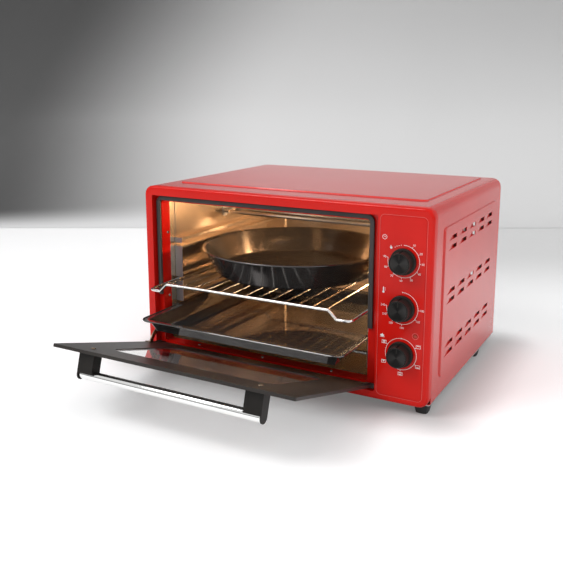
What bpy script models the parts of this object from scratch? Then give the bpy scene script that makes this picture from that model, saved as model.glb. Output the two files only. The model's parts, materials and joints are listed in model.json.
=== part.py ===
"""Mini oven with an open drop-down door, a wire rack, a baking tray and a round pan.

All lengths are metres. Every piece is modelled in the oven's own frame and hangs on the
empty "assembly": X runs to the right as seen from the front, Y runs to the back with zero on
the front panel's face, and Z runs up with zero under the base plate. The door is modelled
closed in the frame of its hinge axis and is then turned open on its empty.
"""
import math
from collections import namedtuple

import bmesh
import bpy
from mathutils import Matrix, Vector

# Fits shared by all pieces
FIT = 0.0003
CUT_OVERRUN = 0.002
CORNER_STEPS = 4
ROUND_SIDES = 20
SMALL_SIDES = 12
WIRE_SIDES = 8
THIN_WIRE_SIDES = 6
SLOT_STEPS = 1
SMOOTH_ANGLE = math.radians(35)

# Body of the oven
BODY_WIDTH = 0.520
BODY_DEPTH = 0.395
BODY_HEIGHT = 0.303
BODY_CORNER_RADIUS = 0.016
PAINTED_SHEET = 0.0012
LINER_SHEET = 0.0010

# Outer casing
CASING_FLANGE = 0.010
CASING_FLANGE_RADIUS = 0.004
EMBOSS_HEIGHT = 0.0020
EMBOSS_SLOPE = 0.0016
EMBOSS_CORNER_RADIUS = 0.008
TOP_EMBOSS_SIDE_MARGIN = 0.032
TOP_EMBOSS_FRONT = 0.060
TOP_EMBOSS_BACK_MARGIN = 0.013
SIDE_EMBOSS_FRONT = 0.049
SIDE_EMBOSS_BACK_MARGIN = 0.036
SIDE_EMBOSS_LOW = 0.032
SIDE_EMBOSS_TOP_MARGIN = 0.035

# Louvres pressed inwards in the sides
LOUVRE_LENGTH = 0.038
LOUVRE_HEIGHT = 0.0065
LOUVRE_DEPTH = 0.0036
LOUVRE_MOUTH = 0.0045
LOUVRE_FRONT_MARGIN = 0.036
LOUVRE_BACK_MARGIN = 0.054
LOUVRE_COLUMN_PITCH = 0.055
LOUVRE_ROW_PITCH = 0.0148
LOUVRE_ROWS = 2
LOUVRE_LOW_MARGIN = 0.0325
LOUVRE_TOP_MARGIN = 0.0207
LOUVRE_GROUP_PITCH = 0.084

# Front panel, one pressing with the recess that the door closes into
PANEL_EDGE_RADIUS = 0.0045
PANEL_EDGE_STEPS = 3
RECESS_LEFT_MARGIN = 0.016
RECESS_RIGHT_MARGIN = 0.0855
RECESS_LOW = 0.0127
RECESS_TOP_MARGIN = 0.016
RECESS_DEPTH = 0.013
RECESS_CORNER_RADIUS = 0.0025
MOUTH_LEFT_MARGIN = 0.0105
MOUTH_RIGHT_MARGIN = 0.0170
MOUTH_LOW_MARGIN = 0.0088
MOUTH_TOP_MARGIN = 0.0110
MOUTH_CORNER_RADIUS = 0.005
LIP_DEPTH = 0.022
CONTROL_LINE_LEFT_MARGIN = 0.0035
CONTROL_LINE_RIGHT_MARGIN = 0.010
CONTROL_LINE_LOW = 0.010
CONTROL_LINE_TOP_MARGIN = 0.014
CONTROL_LINE_RADIUS = 0.007
CONTROL_LINE_WIDTH = 0.0014
CONTROL_LINE_DEPTH = 0.0005

# Cooking chamber
REAR_SPACE = 0.016
RUNNER_FRONT = 0.050
RUNNER_BACK_MARGIN = 0.004
RUNNER_SHEET = 0.0008
RUNNER_REACH = 0.015
RUNNER_RIDGE_HEIGHT = 0.005
RUNNER_RIDGE_SLOPE = 0.0015
RUNNER_PAIR_PITCH = 0.015
RUNNER_LEVEL_SHARES = (0.238, 0.415, 0.662)
RUNNER_EDGE_MARGIN = 0.006
BACK_EMBOSS_MARGIN = 0.045
BACK_EMBOSS_DEPTH = 0.003
BACK_WALL_CORNER_RADIUS = 0.002

# Door seal
GASKET_WIDTH = 0.0100
GASKET_THICKNESS = 0.005
GASKET_END_HEIGHT = 0.109
GASKET_EDGE = 0.0012
GASKET_CORNER_RADIUS = 0.006

# Heating elements
HEATER_RADIUS = 0.0035
TERMINAL_RADIUS = 0.0016
TERMINAL_LENGTH = 0.009
HEATER_TAIL = 0.012
UPPER_HEATER_SHARE = 0.38
UPPER_HEATER_SPACING = 0.036
UPPER_HEATER_BACK_MARGIN = 0.150
UPPER_HEATER_LEFT_GAP = 0.016
LOWER_HEATER_SHARE = 0.42
LOWER_HEATER_FRONT = 0.062
LOWER_HEATER_BACK_MARGIN = 0.081
LOWER_HEATER_LEFT_GAP = 0.026
LOWER_HEATER_CORNER_RADIUS = 0.022
BUSH_RADIUS = 0.0065
BUSH_FLANGE_RADIUS = 0.0090
BUSH_FLANGE_THICKNESS = 0.003
BUSH_SLEEVE_REACH = 0.002
HOLDER_SHEET = 0.0010
HOLDER_WIDTH = 0.016
HOLDER_HEIGHT = 0.024
HOLDER_CORNER_RADIUS = 0.005
HOLDER_BACK_THICKNESS = 0.0012

# Lamp
LAMP_BACK_MARGIN = 0.057
LAMP_TOP_MARGIN = 0.032
LAMP_GLASS_RADIUS = 0.014
LAMP_CROWN_SHARE = 0.7
LAMP_GLASS_REACH = 0.009
LAMP_GLASS_WALL = 0.0016
LAMP_HOLDER_RADIUS = 0.018
LAMP_HOLDER_DEPTH = 0.009
LAMP_HOLDER_WALL = 0.0012
LAMP_BULB_RADIUS = 0.008
LAMP_BULB_NECK_RADIUS = 0.005

# Door
DOOR_LEFT_GAP = 0.0040
DOOR_RIGHT_GAP = 0.0045
DOOR_TOP_GAP = 0.0040
DOOR_TAIL = 0.0035
DOOR_THICKNESS = 0.0048
DOOR_CORNER_RADIUS = 0.0025
DOOR_OPEN_ANGLE = math.radians(73.6)
HINGE_DEPTH = 0.0046
HINGE_HEIGHT = 0.0190
WINDOW_LEFT_MARGIN = 0.062
WINDOW_RIGHT_MARGIN = 0.062
WINDOW_LOW = 0.048
WINDOW_TOP_MARGIN = 0.057
WINDOW_CORNER_RADIUS = 0.018
GLASS_THICKNESS = 0.0032
GLASS_OVERLAP = 0.010
GLASS_CORNER_RADIUS = 0.012

# Door hinges and the stay that stops the door
HINGE_NOTCH_WIDTH = 0.0120
HINGE_NOTCH_HEIGHT = 0.0070
KNUCKLE_RADIUS = 0.0042
KNUCKLE_END_GAP = 0.0006
HINGE_TAB_WIDTH = 0.0080
HINGE_TAB_THICKNESS = 0.0012
HINGE_TAB_HEIGHT = 0.022
PIN_RADIUS = 0.0015
PIN_ENGAGEMENT = 0.0090
PIN_HEAD_RADIUS = 0.0030
PIN_HEAD_THICKNESS = 0.0016
STAY_INNER_RADIUS = 0.024
STAY_ARM_WIDTH = 0.008
STAY_THICKNESS = 0.0020
STAY_HOOK_LENGTH = 0.0042
STAY_HOOK_RISE = 0.0050
STAY_FOOT_REACH = 0.012
STAY_FOOT_WIDTH = 0.0100
STAY_FOOT_THICKNESS = 0.0012
STAY_SLOT_CLEARANCE = 0.0006
STAY_STEPS = 8

# Handle
HANDLE_STANDOFF = 0.0346
HANDLE_EDGE_MARGIN = 0.017
HANDLE_LEFT_MARGIN = 0.047
HANDLE_RIGHT_MARGIN = 0.049
HANDLE_ROD_RADIUS = 0.0060
HANDLE_ROD_BEVEL = 0.0008
BRACKET_WIDTH = 0.028
BRACKET_DEPTH = 0.018
BRACKET_CAP_THICKNESS = 0.0042
BRACKET_END_RADIUS = 0.0086
BRACKET_END_STEPS = 8
BRACKET_SEAT_SHARE = 0.35

# Wire rack
RACK_SIDE_GAP = 0.0058
RACK_DOOR_GAP = 0.0015
RACK_BACK_GAP = 0.009
RACK_RAIL_RADIUS = 0.0025
RACK_WIRE_RADIUS = 0.0014
RACK_WIRES = 13
RACK_RISE = 0.013
RACK_STEP_START = 0.023
RACK_STEP_RUN = 0.013
RACK_STEP_RADIUS = 0.004
RACK_CORNER_RADIUS = 0.016
RACK_TRAVEL = 0.048

# Baking tray
TRAY_SIDE_GAP = 0.0075
TRAY_DOOR_GAP = 0.002
TRAY_BACK_GAP = 0.016
TRAY_HEIGHT = 0.022
TRAY_RIM_WIDTH = 0.011
TRAY_WALL_SLOPE = 0.009
TRAY_SHEET = 0.0010
TRAY_RIM_RADIUS = 0.024
TRAY_BOTTOM_BEND = 0.003
TRAY_BEAD_HEIGHT = 0.0012
TRAY_TRAVEL = 0.078

# Round pan
PAN_SIDE_GAP = 0.0192
PAN_SIDE_SHIFT = 0.009
PAN_DOOR_GAP = 0.010
PAN_BACK_GAP = 0.002
PAN_WALL_SLOPE = 0.022
PAN_HEIGHT = 0.046
PAN_SHEET = 0.0014
PAN_BASE_BEND = 0.006
PAN_BEAD_RADIUS = 0.0018
PAN_STAND_RING = 0.006
PAN_SIDES = 32

# Knobs and what they turn
KNOB_RIGHT_MARGIN = 0.0445
KNOB_LOW_MARGIN = 0.0800
KNOB_TOP_MARGIN = 0.0812
KNOB_NAMES = ("function", "temperature", "timer")
KNOB_SKIRT_RADIUS = 0.0198
KNOB_FACE_RADIUS = 0.0160
KNOB_DEPTH = 0.020
KNOB_SKIRT_THICKNESS = 0.0045
KNOB_EDGE_RADIUS = 0.0016
KNOB_PANEL_GAP = 0.0006
KNOB_SIDES = 20
KNOB_BORE_DEPTH = 0.014
KNOB_DISH_DEPTH = 0.0008
KNOB_POINTER_WIDTH = 0.0016
KNOB_POINTER_DEPTH = 0.0012
KNOB_POINTER_LENGTH = 0.009
SHAFT_RADIUS = 0.0030
SHAFT_REACH_IN = 0.012
SHAFT_HOLE_CLEARANCE = 0.001
TIMER_BODY_RADIUS = 0.023
TIMER_BODY_DEPTH = 0.022
TIMER_BELL_RADIUS = 0.020
TIMER_BELL_DEPTH = 0.010
TIMER_BELL_SHOULDER_SHARE = 0.8
TIMER_BELL_CROWN_SHARE = 0.4
TIMER_BELL_POST_RADIUS = 0.004
TIMER_BELL_POST_DEPTH = 0.003
THERMOSTAT_WIDTH = 0.036
THERMOSTAT_HEIGHT = 0.044
THERMOSTAT_DEPTH = 0.022
THERMOSTAT_CUP_RADIUS = 0.013
THERMOSTAT_CUP_DEPTH = 0.006
SELECTOR_RADIUS = 0.021
SELECTOR_FLATS = 8
SELECTOR_DEPTH = 0.030
SELECTOR_TAB_WIDTH = 0.006
SELECTOR_TAB_THICKNESS = 0.0008
SELECTOR_TAB_REACH = 0.010
SELECTOR_TABS = 6
SELECTOR_TAB_CIRCLE_SHARE = 0.7
SWITCH_EDGE_RADIUS = 0.003

# Indicator lens between the lower two knobs
LENS_RIGHT_MARGIN = 0.0230
LENS_KNOB_RISE = 0.0310
LENS_RADIUS = 0.0030
LENS_REACH = 0.0010
LENS_FLANGE_RADIUS = 0.0045
LENS_FLANGE_THICKNESS = 0.0015
LENS_TAIL = 0.008

# Heat shield between the chamber and the switches
SHIELD_GAP = 0.0110
SHIELD_SHEET = 0.0008
SHIELD_FRONT = 0.042
SHIELD_BACK_MARGIN = 0.020
SHIELD_TOP_MARGIN = 0.006
SHIELD_FOOT = 0.012
SHIELD_TERMINAL_CLEARANCE = 0.004

# Rear panel, base plate, feet and the cord's inlet
REAR_PANEL_INSET = 0.0015
REAR_FLANGE_DEPTH = 0.008
REAR_VENT_RIGHT_MARGIN = 0.088
REAR_VENT_PITCH = 0.010
REAR_VENT_COUNT = 6
REAR_VENT_WIDTH = 0.004
REAR_VENT_HEIGHT = 0.040
REAR_VENT_BASES = (0.110, 0.190)
INLET_RIGHT_MARGIN = 0.055
INLET_HEIGHT = 0.045
INLET_RADIUS = 0.0075
GROMMET_FLANGE_RADIUS = 0.0105
GROMMET_FLANGE_THICKNESS = 0.0020
GROMMET_BORE_RADIUS = 0.0042
GROMMET_CHAMFER = 0.001
BASE_VENT_LENGTH = 0.045
BASE_VENT_WIDTH = 0.004
BASE_VENT_PITCH = 0.012
BASE_VENT_COUNT = 5
BASE_VENT_FRONTS = (0.110, 0.240)
BASE_VENT_RIGHT_MARGIN = 0.080
BASE_EDGE_GAP = 0.002
FOOT_HEIGHT = 0.015
FOOT_TOP_WIDTH = 0.024
FOOT_BOTTOM_WIDTH = 0.019
FOOT_CORNER_RADIUS = 0.005
FOOT_SIDE_MARGIN = 0.016
FOOT_FRONT = 0.026
FOOT_BACK_MARGIN = 0.089
FOOT_PEG_RADIUS = 0.003
FOOT_PEG_REACH = 0.004
FOOT_CHAMFER = 0.001
FOOT_CORNER_STEPS = 2
TERMINAL_BLOCK_LENGTH = 0.036
TERMINAL_BLOCK_WIDTH = 0.018
TERMINAL_BLOCK_HEIGHT = 0.016
TERMINAL_BLOCK_GROOVES = 2
TERMINAL_BLOCK_GROOVE_WIDTH = 0.0025
TERMINAL_BLOCK_GROOVE_DEPTH = 0.009
TERMINAL_BLOCK_BACK_MARGIN = 0.045

# Looks: linear colour, roughness and metallic value of each material
LOOKS = {
    "red_enamel": ((0.580, 0.014, 0.008), 0.22, 0.0),
    "aluminised_steel": ((0.620, 0.500, 0.320), 0.35, 0.9),
    "zinc_steel": ((0.520, 0.520, 0.510), 0.40, 0.9),
    "black_enamel": ((0.022, 0.021, 0.022), 0.18, 0.1),
    "black_paint": ((0.055, 0.050, 0.048), 0.45, 0.2),
    "black_plastic": ((0.018, 0.018, 0.019), 0.42, 0.0),
    "chrome": ((0.780, 0.780, 0.790), 0.12, 1.0),
    "glass": ((0.600, 0.600, 0.600), 0.05, 0.0),
    "silicone": ((0.075, 0.068, 0.066), 0.70, 0.0),
    "ceramic": ((0.760, 0.740, 0.680), 0.60, 0.0),
    "heater_sheath": ((0.300, 0.280, 0.260), 0.35, 0.9),
    "amber_lens": ((0.700, 0.120, 0.030), 0.20, 0.0),
    "rubber": ((0.020, 0.020, 0.020), 0.80, 0.0),
}

Rect = namedtuple("Rect", "left right low high")


# Outlines

def grow(rect, by):
    """A rectangle moved out by the same length on all sides."""
    return Rect(rect.left - by, rect.right + by, rect.low - by, rect.high + by)


def rounded(rect, radius, steps=CORNER_STEPS):
    """Points of a rectangle with round corners, anticlockwise from the lower right corner."""
    centres = (
        (rect.right - radius, rect.low + radius, -math.pi / 2),
        (rect.right - radius, rect.high - radius, 0),
        (rect.left + radius, rect.high - radius, math.pi / 2),
        (rect.left + radius, rect.low + radius, math.pi),
    )
    return [
        (a + radius * math.cos(start + math.pi / 2 * i / steps),
         b + radius * math.sin(start + math.pi / 2 * i / steps))
        for a, b, start in centres
        for i in range(steps + 1)
    ]


def circle(radius, centre=(0, 0), sides=ROUND_SIDES):
    """Points of a circle, anticlockwise."""
    return [
        (centre[0] + radius * math.cos(math.tau * i / sides),
         centre[1] + radius * math.sin(math.tau * i / sides))
        for i in range(sides)
    ]


def in_space(outline, axis, depth):
    """An outline's points in space, in the plane that lies across an axis."""
    if axis == "X":
        return [Vector((depth, a, b)) for a, b in outline]
    if axis == "Y":
        return [Vector((a, depth, b)) for a, b in outline]
    return [Vector((a, b, depth)) for a, b in outline]


def bent_path(points, radii, steps=CORNER_STEPS, closed=False):
    """A path through points whose corners are arcs; a radius of zero keeps a corner sharp."""
    corners = [Vector(point) for point in points]
    count = len(corners)
    path = []
    for i, corner in enumerate(corners):
        radius = radii[i]
        if radius == 0 or (not closed and i in (0, count - 1)):
            path.append(corner)
            continue
        back = (corners[i - 1] - corner).normalized()
        ahead = (corners[(i + 1) % count] - corner).normalized()
        half = back.angle(ahead) / 2
        centre = corner + (back + ahead).normalized() * radius / math.sin(half)
        start = (corner + back * radius / math.tan(half) - centre).normalized()
        end = (corner + ahead * radius / math.tan(half) - centre).normalized()
        for step in range(steps + 1):
            share = step / steps
            path.append(centre + start.slerp(end, share) * radius)
    return path


# Closed shapes

def closed_up(bm):
    """Turns all faces outwards."""
    bmesh.ops.recalc_face_normals(bm, faces=bm.faces)
    return bm


def skin(bm, rings, loop=False):
    """Joins rings of equally many points, or single points, with faces."""
    pairs = list(zip(rings, rings[1:]))
    if loop:
        pairs.append((rings[-1], rings[0]))
    for first, second in pairs:
        count = max(len(first), len(second))
        for i in range(count):
            j = (i + 1) % count
            corners = dict.fromkeys((first[i % len(first)], first[j % len(first)],
                                     second[j % len(second)], second[i % len(second)]))
            if len(corners) > 2:
                bm.faces.new(tuple(corners))


def loft(sections, loop=False):
    """A solid through sections of equally many points, capped unless it closes on itself."""
    bm = bmesh.new()
    rings = [[bm.verts.new(point) for point in section] for section in sections]
    skin(bm, rings, loop)
    if not loop:
        bm.faces.new(rings[0])
        bm.faces.new(rings[-1])
    return closed_up(bm)


def prism(outline, axis, start, end):
    """An outline pushed along an axis."""
    return loft([in_space(outline, axis, start), in_space(outline, axis, end)])


def box(x_range, y_range, z_range):
    """A plain block."""
    rect = Rect(x_range[0], x_range[1], z_range[0], z_range[1])
    outline = [(rect.right, rect.low), (rect.right, rect.high),
               (rect.left, rect.high), (rect.left, rect.low)]
    return prism(outline, "Y", y_range[0], y_range[1])


def frame_prism(outer, inner, axis, start, end):
    """A frame between two outlines of equally many points, pushed along an axis."""
    return loft([
        in_space(outer, axis, start), in_space(outer, axis, end),
        in_space(inner, axis, end), in_space(inner, axis, start),
    ], loop=True)


def lathe(profile, sides=ROUND_SIDES, loop=False):
    """A profile of (radius, height) points turned about Z."""
    bm = bmesh.new()
    rings = []
    for radius, height in profile:
        outline = circle(radius, sides=sides) if radius > 0 else [(0, 0)]
        rings.append([bm.verts.new(point) for point in in_space(outline, "Z", height)])
    skin(bm, rings, loop)
    if not loop:
        for ring in (rings[0], rings[-1]):
            if len(ring) > 1:
                bm.faces.new(ring)
    return closed_up(bm)


def tube(path, radii, sides, loop=False, up=Vector((0, 0, 1))):
    """A round bar along a path, with one radius for each of its points."""
    sections = []
    count = len(path)
    for i, point in enumerate(path):
        before = path[i - 1] if loop or i > 0 else point
        after = path[(i + 1) % count] if loop or i < count - 1 else point
        along = (after - before).normalized()
        side = along.cross(up).normalized()
        rise = side.cross(along)
        sections.append([
            point + radii[i] * (side * a + rise * b) for a, b in circle(1, sides=sides)
        ])
    return loft(sections, loop)


def placed(bm, location=(0, 0, 0), axis="Z"):
    """Turns a shape's Z axis to face an axis, or its reverse, and moves it."""
    turns = {
        "Z": Matrix.Identity(4),
        "-Z": Matrix.Rotation(math.pi, 4, "X"),
        "X": Matrix.Rotation(math.pi / 2, 4, "Y"),
        "-X": Matrix.Rotation(-math.pi / 2, 4, "Y"),
        "Y": Matrix.Rotation(-math.pi / 2, 4, "X"),
        "-Y": Matrix.Rotation(math.pi / 2, 4, "X"),
    }
    bm.transform(Matrix.Translation(location) @ turns[axis])
    return bm


def gathered(shapes):
    """Several shapes that don't touch, in one mesh."""
    bm = bmesh.new()
    for shape in shapes:
        mesh = bpy.data.meshes.new("gathered")
        shape.to_mesh(mesh)
        bm.from_mesh(mesh)
        bpy.data.meshes.remove(mesh)
    return bm


def scratch_object(bm, name):
    """An object that lives only while two shapes are combined."""
    mesh = bpy.data.meshes.new(name)
    bm.to_mesh(mesh)
    scratch = bpy.data.objects.new(name, mesh)
    bpy.context.scene.collection.objects.link(scratch)
    return scratch


def combined(base, tool, operation):
    """Boolean of two closed shapes."""
    first = scratch_object(base, "base")
    second = scratch_object(tool, "tool")
    modifier = first.modifiers.new("combine", "BOOLEAN")
    modifier.operation = operation
    modifier.solver = "EXACT"
    modifier.object = second
    result = bmesh.new()
    result.from_object(first, bpy.context.evaluated_depsgraph_get())
    for scratch in (first, second):
        mesh = scratch.data
        bpy.data.objects.remove(scratch)
        bpy.data.meshes.remove(mesh)
    return result


def cut(base, *tools):
    for tool in tools:
        base = combined(base, tool, "DIFFERENCE")
    return base


def fused(base, *others):
    for other in others:
        base = combined(base, other, "UNION")
    return base


# Objects

def look(name):
    """The material of a name, made when it is first asked for."""
    found = bpy.data.materials.get(name)
    if found:
        return found
    colour, roughness, metallic = LOOKS[name]
    made = bpy.data.materials.new(name)
    made.use_nodes = True
    shader = made.node_tree.nodes["Principled BSDF"]
    shader.inputs["Base Color"].default_value = (*colour, 1)
    shader.inputs["Roughness"].default_value = roughness
    shader.inputs["Metallic"].default_value = metallic
    made.diffuse_color = (*colour, 1)
    return made


def piece(name, bm, material, parent):
    """A named sub-part under its parent."""
    mesh = bpy.data.meshes.new(name)
    bm.to_mesh(mesh)
    mesh.materials.append(look(material))
    mesh.shade_smooth()
    mesh.set_sharp_from_angle(angle=SMOOTH_ANGLE)
    made = bpy.data.objects.new(name, mesh)
    bpy.context.scene.collection.objects.link(made)
    made.parent = parent
    return made


def carrier(name, parent, location=(0, 0, 0), turn=0):
    """An empty on a joint's axis, turned about X."""
    made = bpy.data.objects.new(name, None)
    bpy.context.scene.collection.objects.link(made)
    made.parent = parent
    made.location = location
    made.rotation_euler = (turn, 0, 0)
    return made


# Rectangles and planes that several pieces share
BODY = Rect(-BODY_WIDTH / 2, BODY_WIDTH / 2, 0, BODY_HEIGHT)
PANEL_BACK = RECESS_DEPTH + PAINTED_SHEET
RECESS = Rect(BODY.left + RECESS_LEFT_MARGIN, BODY.right - RECESS_RIGHT_MARGIN,
              RECESS_LOW, BODY.high - RECESS_TOP_MARGIN)
MOUTH = Rect(RECESS.left + MOUTH_LEFT_MARGIN, RECESS.right - MOUTH_RIGHT_MARGIN,
             RECESS.low + MOUTH_LOW_MARGIN, RECESS.high - MOUTH_TOP_MARGIN)
LIP_BACK = RECESS_DEPTH + LIP_DEPTH
CHAMBER_FRONT = LIP_BACK + FIT
CHAMBER_BACK = BODY_DEPTH - REAR_SPACE
CHAMBER_WALL = LINER_SHEET + FIT
BASE_TOP = PAINTED_SHEET
RUNNER_BACK = CHAMBER_BACK - RUNNER_BACK_MARGIN
RUNNER_LEVELS = [MOUTH.low + share * (MOUTH.high - MOUTH.low) for share in RUNNER_LEVEL_SHARES]
TOP_RUNNER = RUNNER_LEVELS[-1] + RUNNER_PAIR_PITCH
UPPER_HEATER_HEIGHT = TOP_RUNNER + UPPER_HEATER_SHARE * (MOUTH.high - TOP_RUNNER)
UPPER_HEATER_FRONT = CHAMBER_BACK - UPPER_HEATER_BACK_MARGIN - UPPER_HEATER_SPACING
LOWER_HEATER_HEIGHT = MOUTH.low + LOWER_HEATER_SHARE * (RUNNER_LEVELS[0] - MOUTH.low)
LOWER_HEATER_SPACING = CHAMBER_BACK - LOWER_HEATER_BACK_MARGIN - LOWER_HEATER_FRONT
LAMP_DEPTH = CHAMBER_BACK - LAMP_BACK_MARGIN
LAMP_HEIGHT = MOUTH.high - LAMP_TOP_MARGIN
SHIELD_X = MOUTH.right + CHAMBER_WALL + SHIELD_GAP
TERMINAL_TIP = SHIELD_X + TERMINAL_LENGTH
REAR_PANEL_BACK = BODY_DEPTH - REAR_PANEL_INSET
RACK_LEFT = MOUTH.left + RACK_SIDE_GAP + RACK_RAIL_RADIUS
RACK_RIGHT = MOUTH.right - RACK_SIDE_GAP - RACK_RAIL_RADIUS
DOOR_LENGTH = RECESS.high - HINGE_HEIGHT - DOOR_TOP_GAP
DOOR = Rect(RECESS.left + DOOR_LEFT_GAP, RECESS.right - DOOR_RIGHT_GAP, -DOOR_TAIL, DOOR_LENGTH)
SHUT_DOOR_FACE = HINGE_DEPTH + DOOR_THICKNESS / 2
STAY_OUTER_RADIUS = STAY_INNER_RADIUS + STAY_ARM_WIDTH
RACK_FRONT = SHUT_DOOR_FACE + RACK_DOOR_GAP + RACK_RAIL_RADIUS - RACK_TRAVEL
RACK_BACK = RUNNER_BACK - RACK_BACK_GAP - RACK_TRAVEL
RACK_RAIL_HEIGHT = RUNNER_LEVELS[1] + FIT + RACK_RAIL_RADIUS
RACK_GRID_HEIGHT = RACK_RAIL_HEIGHT + RACK_RISE
TRAY_FRONT = SHUT_DOOR_FACE + TRAY_DOOR_GAP - TRAY_TRAVEL
TRAY_BACK = RUNNER_BACK - TRAY_BACK_GAP - TRAY_TRAVEL
TRAY_RIM_HEIGHT = RUNNER_LEVELS[0] + FIT
PAN_RIM_RADIUS = min((RACK_RIGHT - RACK_LEFT) / 2 - PAN_SIDE_GAP,
                     (CHAMBER_BACK - PAN_BACK_GAP - SHUT_DOOR_FACE - PAN_DOOR_GAP) / 2)
PAN_BASE_RADIUS = PAN_RIM_RADIUS - PAN_WALL_SLOPE
PAN_CENTRE_X = (RACK_LEFT + RACK_RIGHT) / 2 - PAN_SIDE_SHIFT
PAN_CENTRE_Y = CHAMBER_BACK - PAN_BACK_GAP - RACK_TRAVEL - PAN_RIM_RADIUS
PAN_FLOOR = RACK_GRID_HEIGHT + RACK_WIRE_RADIUS + FIT
KNOB_X = BODY.right - KNOB_RIGHT_MARGIN
KNOB_TOP = BODY.high - KNOB_TOP_MARGIN
KNOB_HEIGHTS = (KNOB_LOW_MARGIN, (KNOB_LOW_MARGIN + KNOB_TOP) / 2, KNOB_TOP)
LENS_X = BODY.right - LENS_RIGHT_MARGIN
LENS_HEIGHT = KNOB_LOW_MARGIN + LENS_KNOB_RISE
INLET_X = BODY.right - INLET_RIGHT_MARGIN
FEET = [
    (side + "_" + end, x, y)
    for end, y in (("front", FOOT_FRONT), ("rear", BODY_DEPTH - FOOT_BACK_MARGIN))
    for side, x in (("left", BODY.left + FOOT_SIDE_MARGIN), ("right", BODY.right - FOOT_SIDE_MARGIN))
]
HEATER_TERMINALS = [
    (height, depth)
    for height, front, spacing in (
        (UPPER_HEATER_HEIGHT, UPPER_HEATER_FRONT, UPPER_HEATER_SPACING),
        (LOWER_HEATER_HEIGHT, LOWER_HEATER_FRONT, LOWER_HEATER_SPACING))
    for depth in (front, front + spacing)
]


# Casing and panels

def casing_path(inset):
    """The casing's section across the oven, from one lower flange round to the other."""
    low = BASE_TOP + FIT + inset
    half = BODY.right - inset
    high = BODY.high - inset
    flange_end = BODY.right - CASING_FLANGE
    corners = [(-flange_end, 0, low), (-half, 0, low), (-half, 0, high),
               (half, 0, high), (half, 0, low), (flange_end, 0, low)]
    radii = [0, CASING_FLANGE_RADIUS - inset, BODY_CORNER_RADIUS - inset,
             BODY_CORNER_RADIUS - inset, CASING_FLANGE_RADIUS - inset, 0]
    return [(point.x, point.z) for point in bent_path(corners, radii)]


def emboss_tools(rect, axis, face, outwards):
    """The bump outside a sheet and the hollow inside it that make a raised field."""
    inner = grow(rect, -EMBOSS_SLOPE)
    under = face - outwards * PAINTED_SHEET
    bump = loft([
        in_space(rounded(rect, EMBOSS_CORNER_RADIUS), axis, face - outwards * PAINTED_SHEET / 2),
        in_space(rounded(rect, EMBOSS_CORNER_RADIUS), axis, face),
        in_space(rounded(inner, EMBOSS_CORNER_RADIUS), axis, face + outwards * EMBOSS_HEIGHT),
    ])
    hollow = loft([
        in_space(rounded(grow(rect, -PAINTED_SHEET), EMBOSS_CORNER_RADIUS), axis,
                 under - outwards * CUT_OVERRUN),
        in_space(rounded(grow(rect, -PAINTED_SHEET), EMBOSS_CORNER_RADIUS), axis, under),
        in_space(rounded(grow(inner, -PAINTED_SHEET), EMBOSS_CORNER_RADIUS), axis,
                 under + outwards * EMBOSS_HEIGHT),
    ])
    return bump, hollow


def spread(first, last, pitch):
    """Evenly spaced places from first to last, at about a pitch."""
    gaps = max(1, round((last - first) / pitch))
    return [first + (last - first) * i / gaps for i in range(gaps + 1)]


def louvre_places(field):
    """Front end and lower edge of every louvre in a raised field."""
    columns = spread(field.left + LOUVRE_FRONT_MARGIN, field.right - LOUVRE_BACK_MARGIN,
                     LOUVRE_COLUMN_PITCH)
    top_group = field.high - LOUVRE_TOP_MARGIN - (LOUVRE_ROWS - 1) * LOUVRE_ROW_PITCH
    groups = spread(field.low + LOUVRE_LOW_MARGIN, top_group, LOUVRE_GROUP_PITCH)
    return [
        (column - LOUVRE_LENGTH / 2, base + row * LOUVRE_ROW_PITCH - LOUVRE_HEIGHT / 2)
        for base in groups
        for row in range(LOUVRE_ROWS)
        for column in columns
    ]


def scoop(front, low, face, outwards, sheet):
    """A wedge that deepens towards the back; with a sheet it is the metal round the hollow."""
    surface = face - outwards * sheet / 2 if sheet else face + outwards * CUT_OVERRUN
    deepest = face - outwards * (LOUVRE_DEPTH + sheet)
    start = front - sheet
    outline = [(start, face - outwards * sheet), (front + LOUVRE_LENGTH, deepest)]
    if not sheet:
        outline.append((front + LOUVRE_LENGTH + LOUVRE_MOUTH, deepest))
    outline += [(outline[-1][0], surface), (start, surface)]
    bottom = [Vector((x, y, low - sheet)) for y, x in outline]
    top = [Vector((x, y, low + LOUVRE_HEIGHT + sheet)) for y, x in outline]
    return loft([bottom, top])


def outer_casing(parent):
    front = PANEL_BACK + FIT
    outline = casing_path(0) + casing_path(PAINTED_SHEET)[::-1]
    shape = prism(outline, "Y", front, BODY_DEPTH)
    top = Rect(BODY.left + TOP_EMBOSS_SIDE_MARGIN, BODY.right - TOP_EMBOSS_SIDE_MARGIN,
               TOP_EMBOSS_FRONT, BODY_DEPTH - TOP_EMBOSS_BACK_MARGIN)
    side = Rect(SIDE_EMBOSS_FRONT, BODY_DEPTH - SIDE_EMBOSS_BACK_MARGIN,
                SIDE_EMBOSS_LOW, BODY.high - SIDE_EMBOSS_TOP_MARGIN)
    fields = [emboss_tools(top, "Z", BODY.high, 1),
              emboss_tools(side, "X", BODY.right, 1),
              emboss_tools(side, "X", BODY.left, -1)]
    shape = fused(shape, *[bump for bump, hollow in fields])
    shape = cut(shape, *[hollow for bump, hollow in fields])
    for outwards in (1, -1):
        face = outwards * (BODY.right + EMBOSS_HEIGHT)
        pods = [scoop(y, z, face, outwards, PAINTED_SHEET) for y, z in louvre_places(side)]
        hollows = [scoop(y, z, face, outwards, 0) for y, z in louvre_places(side)]
        shape = cut(fused(shape, gathered(pods)), gathered(hollows))
    piece("outer_casing", shape, "red_enamel", parent)


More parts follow.
